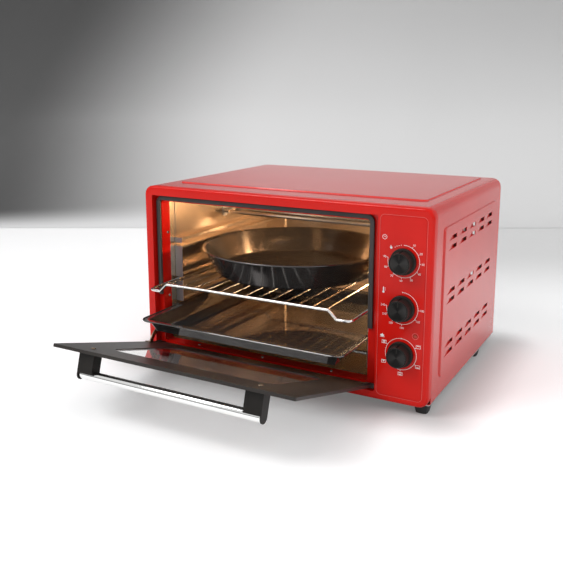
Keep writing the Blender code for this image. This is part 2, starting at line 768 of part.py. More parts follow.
def stay_slot():
    """The slot in the recess floor that the stay runs through."""
    front = RECESS_DEPTH - HINGE_DEPTH
    back = PANEL_BACK - HINGE_DEPTH
    low = HINGE_HEIGHT + math.sqrt(STAY_INNER_RADIUS ** 2 - back ** 2) - STAY_SLOT_CLEARANCE
    high = HINGE_HEIGHT + math.sqrt(STAY_OUTER_RADIUS ** 2 - front ** 2) + STAY_SLOT_CLEARANCE
    left = DOOR.left - STAY_SLOT_CLEARANCE
    right = DOOR.left + STAY_THICKNESS + FIT + STAY_SLOT_CLEARANCE
    return box((left, right), (RECESS_DEPTH - CUT_OVERRUN, PANEL_BACK + CUT_OVERRUN), (low, high))


def front_panel(parent):
    sections = []
    for step in range(PANEL_EDGE_STEPS + 1):
        turn = math.pi / 2 * step / PANEL_EDGE_STEPS
        inset = PANEL_EDGE_RADIUS * (1 - math.sin(turn))
        depth = PANEL_EDGE_RADIUS * (1 - math.cos(turn))
        outline = rounded(grow(BODY, -inset), BODY_CORNER_RADIUS - inset)
        sections.append(in_space(outline, "Y", depth))
    sections.append(in_space(rounded(BODY, BODY_CORNER_RADIUS), "Y", PANEL_BACK))
    shape = loft(sections)
    inside = rounded(grow(BODY, -PANEL_EDGE_RADIUS), BODY_CORNER_RADIUS - PANEL_EDGE_RADIUS)
    behind = rounded(grow(BODY, -PAINTED_SHEET), BODY_CORNER_RADIUS - PAINTED_SHEET)
    tub = rounded(grow(RECESS, PAINTED_SHEET), RECESS_CORNER_RADIUS + PAINTED_SHEET)
    void = loft([
        in_space(inside, "Y", PAINTED_SHEET),
        in_space(behind, "Y", PANEL_EDGE_RADIUS),
        in_space(behind, "Y", PANEL_BACK + CUT_OVERRUN),
        in_space(tub, "Y", PANEL_BACK + CUT_OVERRUN),
        in_space(tub, "Y", PAINTED_SHEET),
    ], loop=True)
    recess = prism(rounded(RECESS, RECESS_CORNER_RADIUS), "Y", -CUT_OVERRUN, RECESS_DEPTH)
    mouth = prism(rounded(MOUTH, MOUTH_CORNER_RADIUS), "Y", 0, LIP_BACK + CUT_OVERRUN)
    lip = prism(rounded(grow(MOUTH, PAINTED_SHEET), MOUTH_CORNER_RADIUS + PAINTED_SHEET),
                "Y", RECESS_DEPTH + PAINTED_SHEET / 2, LIP_BACK)
    shape = cut(shape, void, recess)
    shape = cut(fused(shape, lip), mouth, stay_slot())
    line = Rect(RECESS.right + CONTROL_LINE_LEFT_MARGIN, BODY.right - CONTROL_LINE_RIGHT_MARGIN,
                CONTROL_LINE_LOW, BODY.high - CONTROL_LINE_TOP_MARGIN)
    groove = frame_prism(
        rounded(line, CONTROL_LINE_RADIUS),
        rounded(grow(line, -CONTROL_LINE_WIDTH), CONTROL_LINE_RADIUS - CONTROL_LINE_WIDTH),
        "Y", -CUT_OVERRUN, CONTROL_LINE_DEPTH)
    through = (-CUT_OVERRUN, PAINTED_SHEET + CUT_OVERRUN)
    holes = [prism(circle(SHAFT_RADIUS + SHAFT_HOLE_CLEARANCE, (KNOB_X, height), SMALL_SIDES),
                   "Y", *through) for height in KNOB_HEIGHTS]
    holes.append(prism(circle(LENS_RADIUS + FIT, (LENS_X, LENS_HEIGHT), SMALL_SIDES), "Y", *through))
    pin_hole = circle(PIN_RADIUS + FIT, (HINGE_DEPTH, HINGE_HEIGHT), SMALL_SIDES)
    for wall in (RECESS.left, RECESS.right):
        reach = PAINTED_SHEET + CUT_OVERRUN
        holes.append(prism(pin_hole, "X", wall - reach, wall + reach))
    shape = cut(shape, groove, gathered(holes))
    piece("front_panel", shape, "red_enamel", parent)


def rear_panel(parent):
    edge = PAINTED_SHEET + FIT
    outer = Rect(BODY.left + edge, BODY.right - edge,
                 BASE_TOP + FIT + PAINTED_SHEET + FIT, BODY.high - edge)
    radius = BODY_CORNER_RADIUS - edge
    inner = grow(outer, -LINER_SHEET)
    inner_radius = radius - LINER_SHEET
    back = REAR_PANEL_BACK
    shape = loft([
        in_space(rounded(outer, radius), "Y", back),
        in_space(rounded(outer, radius), "Y", back - REAR_FLANGE_DEPTH),
        in_space(rounded(inner, inner_radius), "Y", back - REAR_FLANGE_DEPTH),
        in_space(rounded(inner, inner_radius), "Y", back - LINER_SHEET),
    ])
    through = (back - LINER_SHEET - CUT_OVERRUN, back + CUT_OVERRUN)
    cuts = [prism(circle(INLET_RADIUS, (INLET_X, INLET_HEIGHT)), "Y", *through)]
    for base in REAR_VENT_BASES:
        for i in range(REAR_VENT_COUNT):
            left = BODY.right - REAR_VENT_RIGHT_MARGIN + i * REAR_VENT_PITCH
            slot = Rect(left, left + REAR_VENT_WIDTH, base, base + REAR_VENT_HEIGHT)
            cuts.append(prism(rounded(slot, REAR_VENT_WIDTH / 2 - FIT, SLOT_STEPS), "Y", *through))
    piece("rear_panel", cut(shape, gathered(cuts)), "zinc_steel", parent)


def cord_grommet(parent):
    groove_front = REAR_PANEL_BACK - LINER_SHEET - FIT
    groove_back = REAR_PANEL_BACK + FIT
    neck = INLET_RADIUS - FIT
    profile = [
        (GROMMET_BORE_RADIUS, groove_front - GROMMET_FLANGE_THICKNESS),
        (GROMMET_FLANGE_RADIUS, groove_front - GROMMET_FLANGE_THICKNESS),
        (GROMMET_FLANGE_RADIUS, groove_front), (neck, groove_front),
        (neck, groove_back), (GROMMET_FLANGE_RADIUS, groove_back),
        (GROMMET_FLANGE_RADIUS - GROMMET_CHAMFER, groove_back + GROMMET_FLANGE_THICKNESS / 2),
        (GROMMET_BORE_RADIUS, groove_back + GROMMET_FLANGE_THICKNESS / 2),
    ]
    shape = placed(lathe(profile, SMALL_SIDES, loop=True), (INLET_X, 0, INLET_HEIGHT), "Y")
    piece("cord_grommet", shape, "rubber", parent)


def base_plate(parent):
    rect = Rect(BODY.left + BASE_EDGE_GAP, BODY.right - BASE_EDGE_GAP,
                PANEL_BACK + FIT, BODY_DEPTH - REAR_PANEL_INSET)
    shape = prism(rounded(rect, CASING_FLANGE_RADIUS), "Z", 0, BASE_TOP)
    through = (-CUT_OVERRUN, BASE_TOP + CUT_OVERRUN)
    cuts = [prism(circle(FOOT_PEG_RADIUS + FIT, (x, y), SMALL_SIDES), "Z", *through)
            for name, x, y in FEET]
    for front in BASE_VENT_FRONTS:
        for i in range(BASE_VENT_COUNT):
            left = BODY.right - BASE_VENT_RIGHT_MARGIN + (i - BASE_VENT_COUNT / 2) * BASE_VENT_PITCH
            slot = Rect(left, left + BASE_VENT_WIDTH, front, front + BASE_VENT_LENGTH)
            cuts.append(prism(rounded(slot, BASE_VENT_WIDTH / 2 - FIT, SLOT_STEPS), "Z", *through))
    piece("base_plate", cut(shape, gathered(cuts)), "zinc_steel", parent)


def feet(parent):
    for name, x, y in FEET:
        sections = []
        widths = ((FOOT_BOTTOM_WIDTH - FOOT_CHAMFER, -FOOT_HEIGHT),
                  (FOOT_BOTTOM_WIDTH, FOOT_CHAMFER - FOOT_HEIGHT),
                  (FOOT_TOP_WIDTH, -FOOT_CHAMFER),
                  (FOOT_TOP_WIDTH - FOOT_CHAMFER, -FIT))
        for width, height in widths:
            rect = Rect(x - width / 2, x + width / 2, y - width / 2, y + width / 2)
            outline = rounded(rect, FOOT_CORNER_RADIUS, FOOT_CORNER_STEPS)
            sections.append(in_space(outline, "Z", height))
        peg = prism(circle(FOOT_PEG_RADIUS, (x, y), SMALL_SIDES), "Z", -FOOT_CHAMFER, FOOT_PEG_REACH)
        piece("foot_" + name, fused(loft(sections), peg), "rubber", parent)


# Cooking chamber

def chamber(parent):
    """Five liner sheets that meet edge to edge behind the panel's lip."""
    front, back = CHAMBER_FRONT, CHAMBER_BACK
    floor = box((MOUTH.left, MOUTH.right), (front, back), (MOUTH.low - LINER_SHEET, MOUTH.low))
    piece("chamber_floor", floor, "aluminised_steel", parent)
    ceiling = box((MOUTH.left, MOUTH.right), (front, back), (MOUTH.high, MOUTH.high + LINER_SHEET))
    piece("chamber_ceiling", ceiling, "aluminised_steel", parent)
    heights = (MOUTH.low - LINER_SHEET, MOUTH.high + LINER_SHEET)
    left_x = MOUTH.left - FIT
    left = box((left_x - LINER_SHEET, left_x), (front, back), heights)
    piece("chamber_left_wall", left, "aluminised_steel", parent)
    right_x = MOUTH.right + FIT
    right = box((right_x, right_x + LINER_SHEET), (front, back), heights)
    through = (right_x - CUT_OVERRUN, right_x + LINER_SHEET + CUT_OVERRUN)
    cuts = [prism(circle(BUSH_RADIUS + FIT, (depth, height), SMALL_SIDES), "X", *through)
            for height, depth in HEATER_TERMINALS]
    lamp = circle(LAMP_GLASS_RADIUS + FIT, (LAMP_DEPTH, LAMP_HEIGHT))
    cuts.append(prism(lamp, "X", *through))
    piece("chamber_right_wall", cut(right, gathered(cuts)), "aluminised_steel", parent)
    wall = Rect(MOUTH.left - CHAMBER_WALL, MOUTH.right + CHAMBER_WALL,
                MOUTH.low - LINER_SHEET, MOUTH.high + LINER_SHEET)
    face = back + FIT
    rim = rounded(wall, BACK_WALL_CORNER_RADIUS)
    field = grow(wall, -BACK_EMBOSS_MARGIN)
    slope = grow(field, -BACK_EMBOSS_DEPTH)
    field_outline = rounded(field, EMBOSS_CORNER_RADIUS)
    slope_outline = rounded(slope, EMBOSS_CORNER_RADIUS)
    shape = loft([
        in_space(slope_outline, "Y", face + BACK_EMBOSS_DEPTH),
        in_space(field_outline, "Y", face), in_space(rim, "Y", face),
        in_space(rim, "Y", face + LINER_SHEET), in_space(field_outline, "Y", face + LINER_SHEET),
        in_space(slope_outline, "Y", face + BACK_EMBOSS_DEPTH + LINER_SHEET),
    ])
    piece("chamber_back_wall", shape, "aluminised_steel", parent)


def runner_outline(inset):
    """Heights and reaches of a runner panel's face, with two level-topped ridges at each shelf."""
    shrink = RUNNER_SHEET - inset
    points = [(inset, MOUTH.low + RUNNER_EDGE_MARGIN)]
    for level in RUNNER_LEVELS:
        for top in (level, level + RUNNER_PAIR_PITCH):
            low = top - RUNNER_RIDGE_HEIGHT
            points += [
                (inset, low - RUNNER_RIDGE_SLOPE + shrink), (RUNNER_REACH - shrink, low + shrink),
                (RUNNER_REACH - shrink, top - shrink), (inset, top - shrink),
            ]
    points.append((inset, MOUTH.high - RUNNER_EDGE_MARGIN))
    return points


def side_runners(parent):
    """The pressed panels whose ridges carry the rack and the tray."""
    face = runner_outline(RUNNER_SHEET)
    behind = runner_outline(0)[::-1]
    for name, wall, inwards in (("left", MOUTH.left, 1), ("right", MOUTH.right, -1)):
        outline = [(wall + inwards * (FIT + reach), height) for reach, height in face + behind]
        shape = prism(outline, "Y", RUNNER_FRONT, RUNNER_BACK)
        if inwards < 0:
            cuts = []
            through = (wall - RUNNER_REACH, wall + CUT_OVERRUN)
            for height, depth in HEATER_TERMINALS:
                hole = circle(HEATER_RADIUS * 2, (depth, height), SMALL_SIDES)
                cuts.append(prism(hole, "X", *through))
            lamp = circle(LAMP_HOLDER_RADIUS, (LAMP_DEPTH, LAMP_HEIGHT))
            cuts.append(prism(lamp, "X", *through))
            shape = cut(shape, gathered(cuts))
        piece(name + "_side_runner", shape, "aluminised_steel", parent)


def door_gasket(parent):
    """The seal on the recess floor, over the mouth and down both of its sides."""
    outer = Rect(MOUTH.left - GASKET_WIDTH, MOUTH.right + GASKET_WIDTH,
                 GASKET_END_HEIGHT, MOUTH.high + GASKET_WIDTH)

    def path(inset):
        corners = [(outer.left + inset, 0, outer.low), (outer.left + inset, 0, outer.high - inset),
                   (outer.right - inset, 0, outer.high - inset), (outer.right - inset, 0, outer.low)]
        bend = max(GASKET_CORNER_RADIUS - inset, FIT)
        return [(point.x, point.z) for point in bent_path(corners, [0, bend, bend, 0])]

    back = RECESS_DEPTH - FIT
    width = GASKET_WIDTH
    sections = [
        (GASKET_EDGE, back - GASKET_THICKNESS), (0, back - GASKET_THICKNESS + GASKET_EDGE), (0, back)
    ]
    outlines = [path(inset) + path(width - inset)[::-1] for inset, depth in sections]
    shape = loft([in_space(outline, "Y", depth)
                  for outline, (inset, depth) in zip(outlines, sections)])
    piece("door_gasket", shape, "silicone", parent)


# Heating elements and lamp

def heater(name, height, front, spacing, left, bend, parent):
    """A sheathed element bent to a U, with a thin terminal at each end."""
    tail = MOUTH.right + HEATER_TAIL
    ends = [(tail, front), (left, front), (left, front + spacing), (tail, front + spacing)]
    corners = [(x, y, height) for x, y in ends]
    core = bent_path(corners, [0, bend, bend, 0], steps=CORNER_STEPS + 1)
    first = Vector((TERMINAL_TIP, front, height))
    last = Vector((TERMINAL_TIP, front + spacing, height))
    shoulder = Vector((FIT, 0, 0))
    path = [first, core[0] + shoulder, *core, core[-1] + shoulder, last]
    radii = [TERMINAL_RADIUS] * 2 + [HEATER_RADIUS] * len(core) + [TERMINAL_RADIUS] * 2
    piece(name, tube(path, radii, WIRE_SIDES), "heater_sheath", parent)


def heater_bush(name, height, depth, parent):
    """A ceramic sleeve with a flange outside the chamber wall."""
    wall = MOUTH.right + FIT
    outside = wall + LINER_SHEET + FIT
    bore = HEATER_RADIUS + FIT
    profile = [
        (bore, wall - BUSH_SLEEVE_REACH), (BUSH_RADIUS, wall - BUSH_SLEEVE_REACH),
        (BUSH_RADIUS, outside), (BUSH_FLANGE_RADIUS, outside),
        (BUSH_FLANGE_RADIUS, outside + BUSH_FLANGE_THICKNESS), (bore, outside + BUSH_FLANGE_THICKNESS),
    ]
    shape = placed(lathe(profile, SMALL_SIDES, loop=True), (0, depth, height), "X")
    piece(name, shape, "ceramic", parent)


def heater_holder(name, height, depth, reach, parent):
    """A folded strap on the left wall that the element's bend lies in."""
    wall = MOUTH.left + FIT * 2 + RUNNER_SHEET
    outer = Rect(depth - HOLDER_WIDTH / 2, depth + HOLDER_WIDTH / 2,
                 height - HOLDER_HEIGHT / 2, height + HOLDER_HEIGHT / 2)
    strap_high = HEATER_RADIUS + FIT + HOLDER_SHEET
    strap = Rect(outer.left, outer.right, height - strap_high, height + strap_high)
    slot = grow(strap, -HOLDER_SHEET)
    back = prism(rounded(outer, HOLDER_CORNER_RADIUS), "X", wall, wall + HOLDER_BACK_THICKNESS)
    arms = box((wall, wall + reach), (strap.left, strap.right), (strap.low, strap.high))
    gap = box((wall + HOLDER_BACK_THICKNESS, wall + reach + CUT_OVERRUN),
              (strap.left - CUT_OVERRUN, strap.right + CUT_OVERRUN), (slot.low, slot.high))
    piece(name, cut(fused(back, arms), gap), "zinc_steel", parent)


def heating(parent):
    upper_left = MOUTH.left + UPPER_HEATER_LEFT_GAP
    lower_left = MOUTH.left + LOWER_HEATER_LEFT_GAP
    heater("upper_heater", UPPER_HEATER_HEIGHT, UPPER_HEATER_FRONT, UPPER_HEATER_SPACING,
           upper_left, UPPER_HEATER_SPACING / 2 - FIT, parent)
    heater("lower_heater", LOWER_HEATER_HEIGHT, LOWER_HEATER_FRONT, LOWER_HEATER_SPACING,
           lower_left, LOWER_HEATER_CORNER_RADIUS, parent)
    names = ("upper_front", "upper_rear", "lower_front", "lower_rear")
    for name, (height, depth) in zip(names, HEATER_TERMINALS):
        heater_bush(name + "_heater_bush", height, depth, parent)
    reach = HEATER_RADIUS * 2
    heater_holder("upper_heater_holder", UPPER_HEATER_HEIGHT,
                  UPPER_HEATER_FRONT + UPPER_HEATER_SPACING / 2, UPPER_HEATER_LEFT_GAP + reach / 2, parent)
    heater_holder("lower_heater_holder", LOWER_HEATER_HEIGHT,
                  LOWER_HEATER_FRONT + LOWER_HEATER_SPACING / 2, LOWER_HEATER_LEFT_GAP + reach / 2, parent)


def lamp(parent):
    wall = MOUTH.right + FIT
    outside = wall + LINER_SHEET + FIT
    place = (0, LAMP_DEPTH, LAMP_HEIGHT)
    inner = LAMP_GLASS_RADIUS - LAMP_GLASS_WALL
    dome = [(LAMP_GLASS_RADIUS, wall + LINER_SHEET), (LAMP_GLASS_RADIUS, wall - LAMP_GLASS_REACH / 2),
            (LAMP_GLASS_RADIUS * LAMP_CROWN_SHARE, wall - LAMP_GLASS_REACH), (0, wall - LAMP_GLASS_REACH),
            (0, wall - LAMP_GLASS_REACH + LAMP_GLASS_WALL),
            (inner * LAMP_CROWN_SHARE, wall - LAMP_GLASS_REACH + LAMP_GLASS_WALL),
            (inner, wall - LAMP_GLASS_REACH / 2), (inner, wall + LINER_SHEET)]
    shape = placed(lathe(dome, loop=True), place, "X")
    piece("lamp_glass", shape, "glass", parent)
    bore = LAMP_HOLDER_RADIUS - LAMP_HOLDER_WALL
    end = outside + LAMP_HOLDER_DEPTH
    bulb_tip = wall - LAMP_GLASS_REACH / 2
    cup = [(0, end), (LAMP_HOLDER_RADIUS, end), (LAMP_HOLDER_RADIUS, outside), (bore, outside),
           (bore, end - LAMP_HOLDER_WALL), (LAMP_BULB_NECK_RADIUS, end - LAMP_HOLDER_WALL),
           (LAMP_BULB_NECK_RADIUS, outside), (LAMP_BULB_RADIUS, wall),
           (LAMP_BULB_NECK_RADIUS, bulb_tip), (0, bulb_tip)]
    piece("lamp_holder", placed(lathe(cup, SMALL_SIDES), place, "X"), "ceramic", parent)


# Door, modelled closed about its hinge axis: Z runs from the axis to the free edge

WINDOW = Rect(DOOR.left + WINDOW_LEFT_MARGIN, DOOR.right - WINDOW_RIGHT_MARGIN,
              WINDOW_LOW, DOOR.high - WINDOW_TOP_MARGIN)
DOOR_INSIDE = DOOR_THICKNESS / 2
DOOR_OUTSIDE = -DOOR_THICKNESS / 2
HANDLE_PLACE = DOOR.high - HANDLE_EDGE_MARGIN


def door_frame(parent):
    shape = prism(rounded(DOOR, DOOR_CORNER_RADIUS), "Y", DOOR_OUTSIDE, DOOR_INSIDE)
    window = prism(rounded(WINDOW, WINDOW_CORNER_RADIUS), "Y",
                   DOOR_OUTSIDE - CUT_OVERRUN, DOOR_INSIDE + CUT_OVERRUN)
    seat = prism(rounded(grow(WINDOW, GLASS_OVERLAP + FIT), GLASS_CORNER_RADIUS + FIT), "Y",
                 DOOR_OUTSIDE - CUT_OVERRUN, DOOR_OUTSIDE + GLASS_THICKNESS + FIT)
    notches = [
        box((edge, edge + inwards * HINGE_NOTCH_WIDTH),
            (DOOR_OUTSIDE - CUT_OVERRUN, DOOR_INSIDE + CUT_OVERRUN),
            (DOOR.low - CUT_OVERRUN, HINGE_NOTCH_HEIGHT))
        for edge, inwards in ((DOOR.left - FIT, 1), (DOOR.right + FIT, -1))
    ]
    piece("door_frame", cut(shape, window, seat, gathered(notches)), "black_paint", parent)


def door_glass(parent):
    outline = rounded(grow(WINDOW, GLASS_OVERLAP), GLASS_CORNER_RADIUS)
    shape = prism(outline, "Y", DOOR_OUTSIDE, DOOR_OUTSIDE + GLASS_THICKNESS)
    piece("door_glass", shape, "glass", parent)


def hinge_knuckle(name, edge, wall, inwards, parent):
    """A barrel in the door's notch with a tab on the door's inner face, bored for the pin."""
    outer_end = wall + inwards * KNUCKLE_END_GAP
    inner_end = edge + inwards * (HINGE_NOTCH_WIDTH - 2 * FIT)
    barrel = prism(circle(KNUCKLE_RADIUS, sides=SMALL_SIDES), "X", outer_end, inner_end)
    inside = DOOR_INSIDE + FIT
    tab_start = edge + inwards * (HINGE_NOTCH_WIDTH - 2 * FIT - HINGE_TAB_WIDTH)
    tab = box((tab_start, inner_end), (inside, inside + HINGE_TAB_THICKNESS), (0, HINGE_TAB_HEIGHT))
    bore = prism(circle(PIN_RADIUS + FIT, sides=SMALL_SIDES), "X", outer_end - inwards * CUT_OVERRUN,
                 wall + inwards * (PIN_ENGAGEMENT + FIT))
    piece(name, cut(fused(barrel, tab), bore), "black_paint", parent)


def hinge_pin(name, wall, inwards, parent):
    """A headed pin through the recess wall into the knuckle."""
    head = wall - inwards * (PAINTED_SHEET + FIT)
    profile = [(0, 0), (PIN_HEAD_RADIUS, 0), (PIN_HEAD_RADIUS, PIN_HEAD_THICKNESS),
               (PIN_RADIUS, PIN_HEAD_THICKNESS)]
    tip = abs(wall + inwards * PIN_ENGAGEMENT - head) + PIN_HEAD_THICKNESS
    profile += [(PIN_RADIUS, tip), (0, tip)]
    start = (head - inwards * PIN_HEAD_THICKNESS, HINGE_DEPTH, HINGE_HEIGHT)
    shape = placed(lathe(profile, SMALL_SIDES), start, "X" if inwards > 0 else "-X")
    piece(name, shape, "zinc_steel", parent)


def door_stay(parent):
    """A curved arm about the hinge axis whose hook meets the recess floor when the door is open."""
    turn = -DOOR_OPEN_ANGLE

    def closed(y, z):
        return (y * math.cos(turn) - z * math.sin(turn), y * math.sin(turn) + z * math.cos(turn))

    def arc(radius, first, last):
        angles = [first + (last - first) * i / STAY_STEPS for i in range(STAY_STEPS + 1)]
        return [(radius * math.cos(angle), radius * math.sin(angle)) for angle in angles]

    hook_front = PANEL_BACK - HINGE_DEPTH + FIT
    hook_back = hook_front + STAY_HOOK_LENGTH
    inner_tail = (hook_back, math.sqrt(STAY_INNER_RADIUS ** 2 - hook_back ** 2))
    shoulder = (hook_front, math.sqrt(STAY_OUTER_RADIUS ** 2 - hook_front ** 2))
    hook_top = shoulder[1] + STAY_HOOK_RISE
    foot = DOOR_INSIDE + FIT
    tail_angle = math.atan2(*closed(*inner_tail)[::-1])
    shoulder_angle = math.atan2(*closed(*shoulder)[::-1])
    inner_foot = math.acos(foot / STAY_INNER_RADIUS)
    outer_foot = math.acos((foot + STAY_FOOT_THICKNESS) / STAY_OUTER_RADIUS)
    foot_end = STAY_OUTER_RADIUS + STAY_FOOT_REACH
    outline = arc(STAY_INNER_RADIUS, inner_foot, tail_angle)
    outline += [closed(hook_back, hook_top), closed(hook_front, hook_top)]
    outline += arc(STAY_OUTER_RADIUS, shoulder_angle, outer_foot)
    outline += [(foot + STAY_FOOT_THICKNESS, foot_end), (foot, foot_end)]
    left = DOOR.left + FIT
    arm = prism(outline, "X", left, left + STAY_THICKNESS)
    plate = box((left, left + STAY_FOOT_WIDTH), (foot, foot + STAY_FOOT_THICKNESS),
                (STAY_INNER_RADIUS + FIT, foot_end))
    piece("door_stay", fused(arm, plate), "zinc_steel", parent)


def handle(parent):
    rod_y = -HANDLE_STANDOFF
    left = DOOR.left + HANDLE_LEFT_MARGIN
    right = DOOR.right - HANDLE_RIGHT_MARGIN
    face = DOOR_OUTSIDE - FIT
    seat_y = rod_y + HANDLE_ROD_RADIUS * BRACKET_SEAT_SHARE
    half = BRACKET_DEPTH / 2
    for name, end, inwards in (("left", left, 1), ("right", right, -1)):
        outline = [(face, HANDLE_PLACE - half), (face, HANDLE_PLACE + half)]
        for i in range(BRACKET_END_STEPS + 1):
            turn = math.pi / 2 + math.pi * i / BRACKET_END_STEPS
            outline.append((rod_y + BRACKET_END_RADIUS * math.cos(turn),
                            HANDLE_PLACE + BRACKET_END_RADIUS * math.sin(turn)))
        cap = prism(outline, "X", end, end + inwards * BRACKET_CAP_THICKNESS)
        x_range = (end + inwards * BRACKET_CAP_THICKNESS / 2, end + inwards * BRACKET_WIDTH)
        block = box(x_range, (seat_y, face), (HANDLE_PLACE - half + FIT, HANDLE_PLACE + half - FIT))
        bore = prism(circle(HANDLE_ROD_RADIUS + FIT, (rod_y, HANDLE_PLACE)), "X",
                     end + inwards * BRACKET_CAP_THICKNESS, end + inwards * (BRACKET_WIDTH + CUT_OVERRUN))
        piece(name + "_handle_bracket", cut(fused(cap, block), bore), "black_plastic", parent)
    start = left + BRACKET_CAP_THICKNESS + FIT
    length = right - left - 2 * (BRACKET_CAP_THICKNESS + FIT)
    profile = [(0, 0), (HANDLE_ROD_RADIUS - HANDLE_ROD_BEVEL, 0), (HANDLE_ROD_RADIUS, HANDLE_ROD_BEVEL),
               (HANDLE_ROD_RADIUS, length - HANDLE_ROD_BEVEL),
               (HANDLE_ROD_RADIUS - HANDLE_ROD_BEVEL, length), (0, length)]
    shape = placed(lathe(profile), (start, rod_y, HANDLE_PLACE), "X")
    piece("handle_rod", shape, "chrome", parent)


def door(assembly):
    axis = carrier("door_axis", assembly, (0, HINGE_DEPTH, HINGE_HEIGHT), DOOR_OPEN_ANGLE)
    door_frame(axis)
    door_glass(axis)
    hinge_knuckle("left_hinge_knuckle", DOOR.left, RECESS.left, 1, axis)
    hinge_knuckle("right_hinge_knuckle", DOOR.right, RECESS.right, -1, axis)
    hinge_pin("left_hinge_pin", RECESS.left, 1, assembly)
    hinge_pin("right_hinge_pin", RECESS.right, -1, assembly)
    door_stay(axis)
    handle(axis)


# Cooking ware

def wire_rack(parent):
    """A welded rack: a bent frame that steps up at both ends, and thin wires between the bars."""
    low, high = RACK_RAIL_HEIGHT, RACK_GRID_HEIGHT
    front, back = RACK_FRONT, RACK_BACK
    start, end = RACK_STEP_START, RACK_STEP_START + RACK_STEP_RUN
    left, right = RACK_LEFT, RACK_RIGHT
    across = [(left, low), (left + start, low), (left + end, high),
              (right - end, high), (right - start, low), (right, low)]
    corners = [(x, front, z) for x, z in across] + [(x, back, z) for x, z in across[::-1]]
    bend = RACK_STEP_RADIUS
    radii = [RACK_CORNER_RADIUS, bend, bend, bend, bend, RACK_CORNER_RADIUS] * 2
    path = bent_path(corners, radii, steps=CORNER_STEPS // 2, closed=True)
    shape = tube(path, [RACK_RAIL_RADIUS] * len(path), WIRE_SIDES, loop=True)
    first = left + end + RACK_STEP_RADIUS
    pitch = (right - left - 2 * (end + RACK_STEP_RADIUS)) / (RACK_WIRES - 1)
    wires = []
    for i in range(RACK_WIRES):
        x = first + i * pitch
        run = [Vector((x, front, high)), Vector((x, back, high))]
        wires.append(tube(run, [RACK_WIRE_RADIUS] * 2, THIN_WIRE_SIDES))
    piece("wire_rack", fused(shape, gathered(wires)), "chrome", parent)


def baking_tray(parent):
    rim = Rect(MOUTH.left + TRAY_SIDE_GAP, MOUTH.right - TRAY_SIDE_GAP,
               TRAY_FRONT, TRAY_BACK)
    under = TRAY_RIM_HEIGHT
    low = under + TRAY_SHEET - TRAY_HEIGHT

    def ring(inset, height):
        return in_space(rounded(grow(rim, -inset), max(TRAY_RIM_RADIUS - inset, TRAY_BOTTOM_BEND)),
                        "Z", height)

    wall = TRAY_RIM_WIDTH
    foot = wall + TRAY_WALL_SLOPE
    shape = loft([
        ring(foot + TRAY_BOTTOM_BEND, low), ring(foot, low + TRAY_BOTTOM_BEND), ring(wall, under),
        ring(TRAY_BEAD_HEIGHT, under), ring(0, under + TRAY_BEAD_HEIGHT / 2),
        ring(0, under + TRAY_SHEET + TRAY_BEAD_HEIGHT / 2),
        ring(TRAY_BEAD_HEIGHT, under + TRAY_SHEET + TRAY_BEAD_HEIGHT),
        ring(2 * TRAY_BEAD_HEIGHT, under + TRAY_SHEET),
        ring(wall + TRAY_SHEET, under + TRAY_SHEET),
        ring(foot + TRAY_SHEET, low + TRAY_SHEET + TRAY_BOTTOM_BEND),
        ring(foot + TRAY_SHEET + TRAY_BOTTOM_BEND, low + TRAY_SHEET),
    ])
    piece("baking_tray", shape, "black_enamel", parent)


def round_pan(parent):
    rim, base, sheet = PAN_RIM_RADIUS, PAN_BASE_RADIUS, PAN_SHEET
    bead = PAN_BEAD_RADIUS
    bend = PAN_BASE_BEND
    neck = rim - 2 * bead
    profile = [
        (0, sheet / 2), (base - bend - PAN_STAND_RING, sheet / 2), (base - bend, 0),
        (base - bend / 3, bend / 3), (base, bend),
        (neck, PAN_HEIGHT - bead), (rim - bead, PAN_HEIGHT - 2 * bead), (rim, PAN_HEIGHT - bead),
        (rim - bead, PAN_HEIGHT), (neck - sheet, PAN_HEIGHT - bead / 2),
        (base - sheet, bend + sheet / 2), (base - sheet - bend / 3, sheet + bend / 3),
        (base - sheet - bend, sheet), (0, sheet + sheet / 2),
    ]
    shape = placed(lathe(profile, PAN_SIDES), (0, 0, PAN_FLOOR))
    piece("round_pan", shape, "black_enamel", parent)


def cooking_ware(assembly):
    rack = carrier("rack_carrier", assembly)
    wire_rack(rack)
    pan = carrier("pan_carrier", rack, (PAN_CENTRE_X, PAN_CENTRE_Y, 0))
    round_pan(pan)
    tray = carrier("tray_carrier", assembly)
    baking_tray(tray)


# Controls

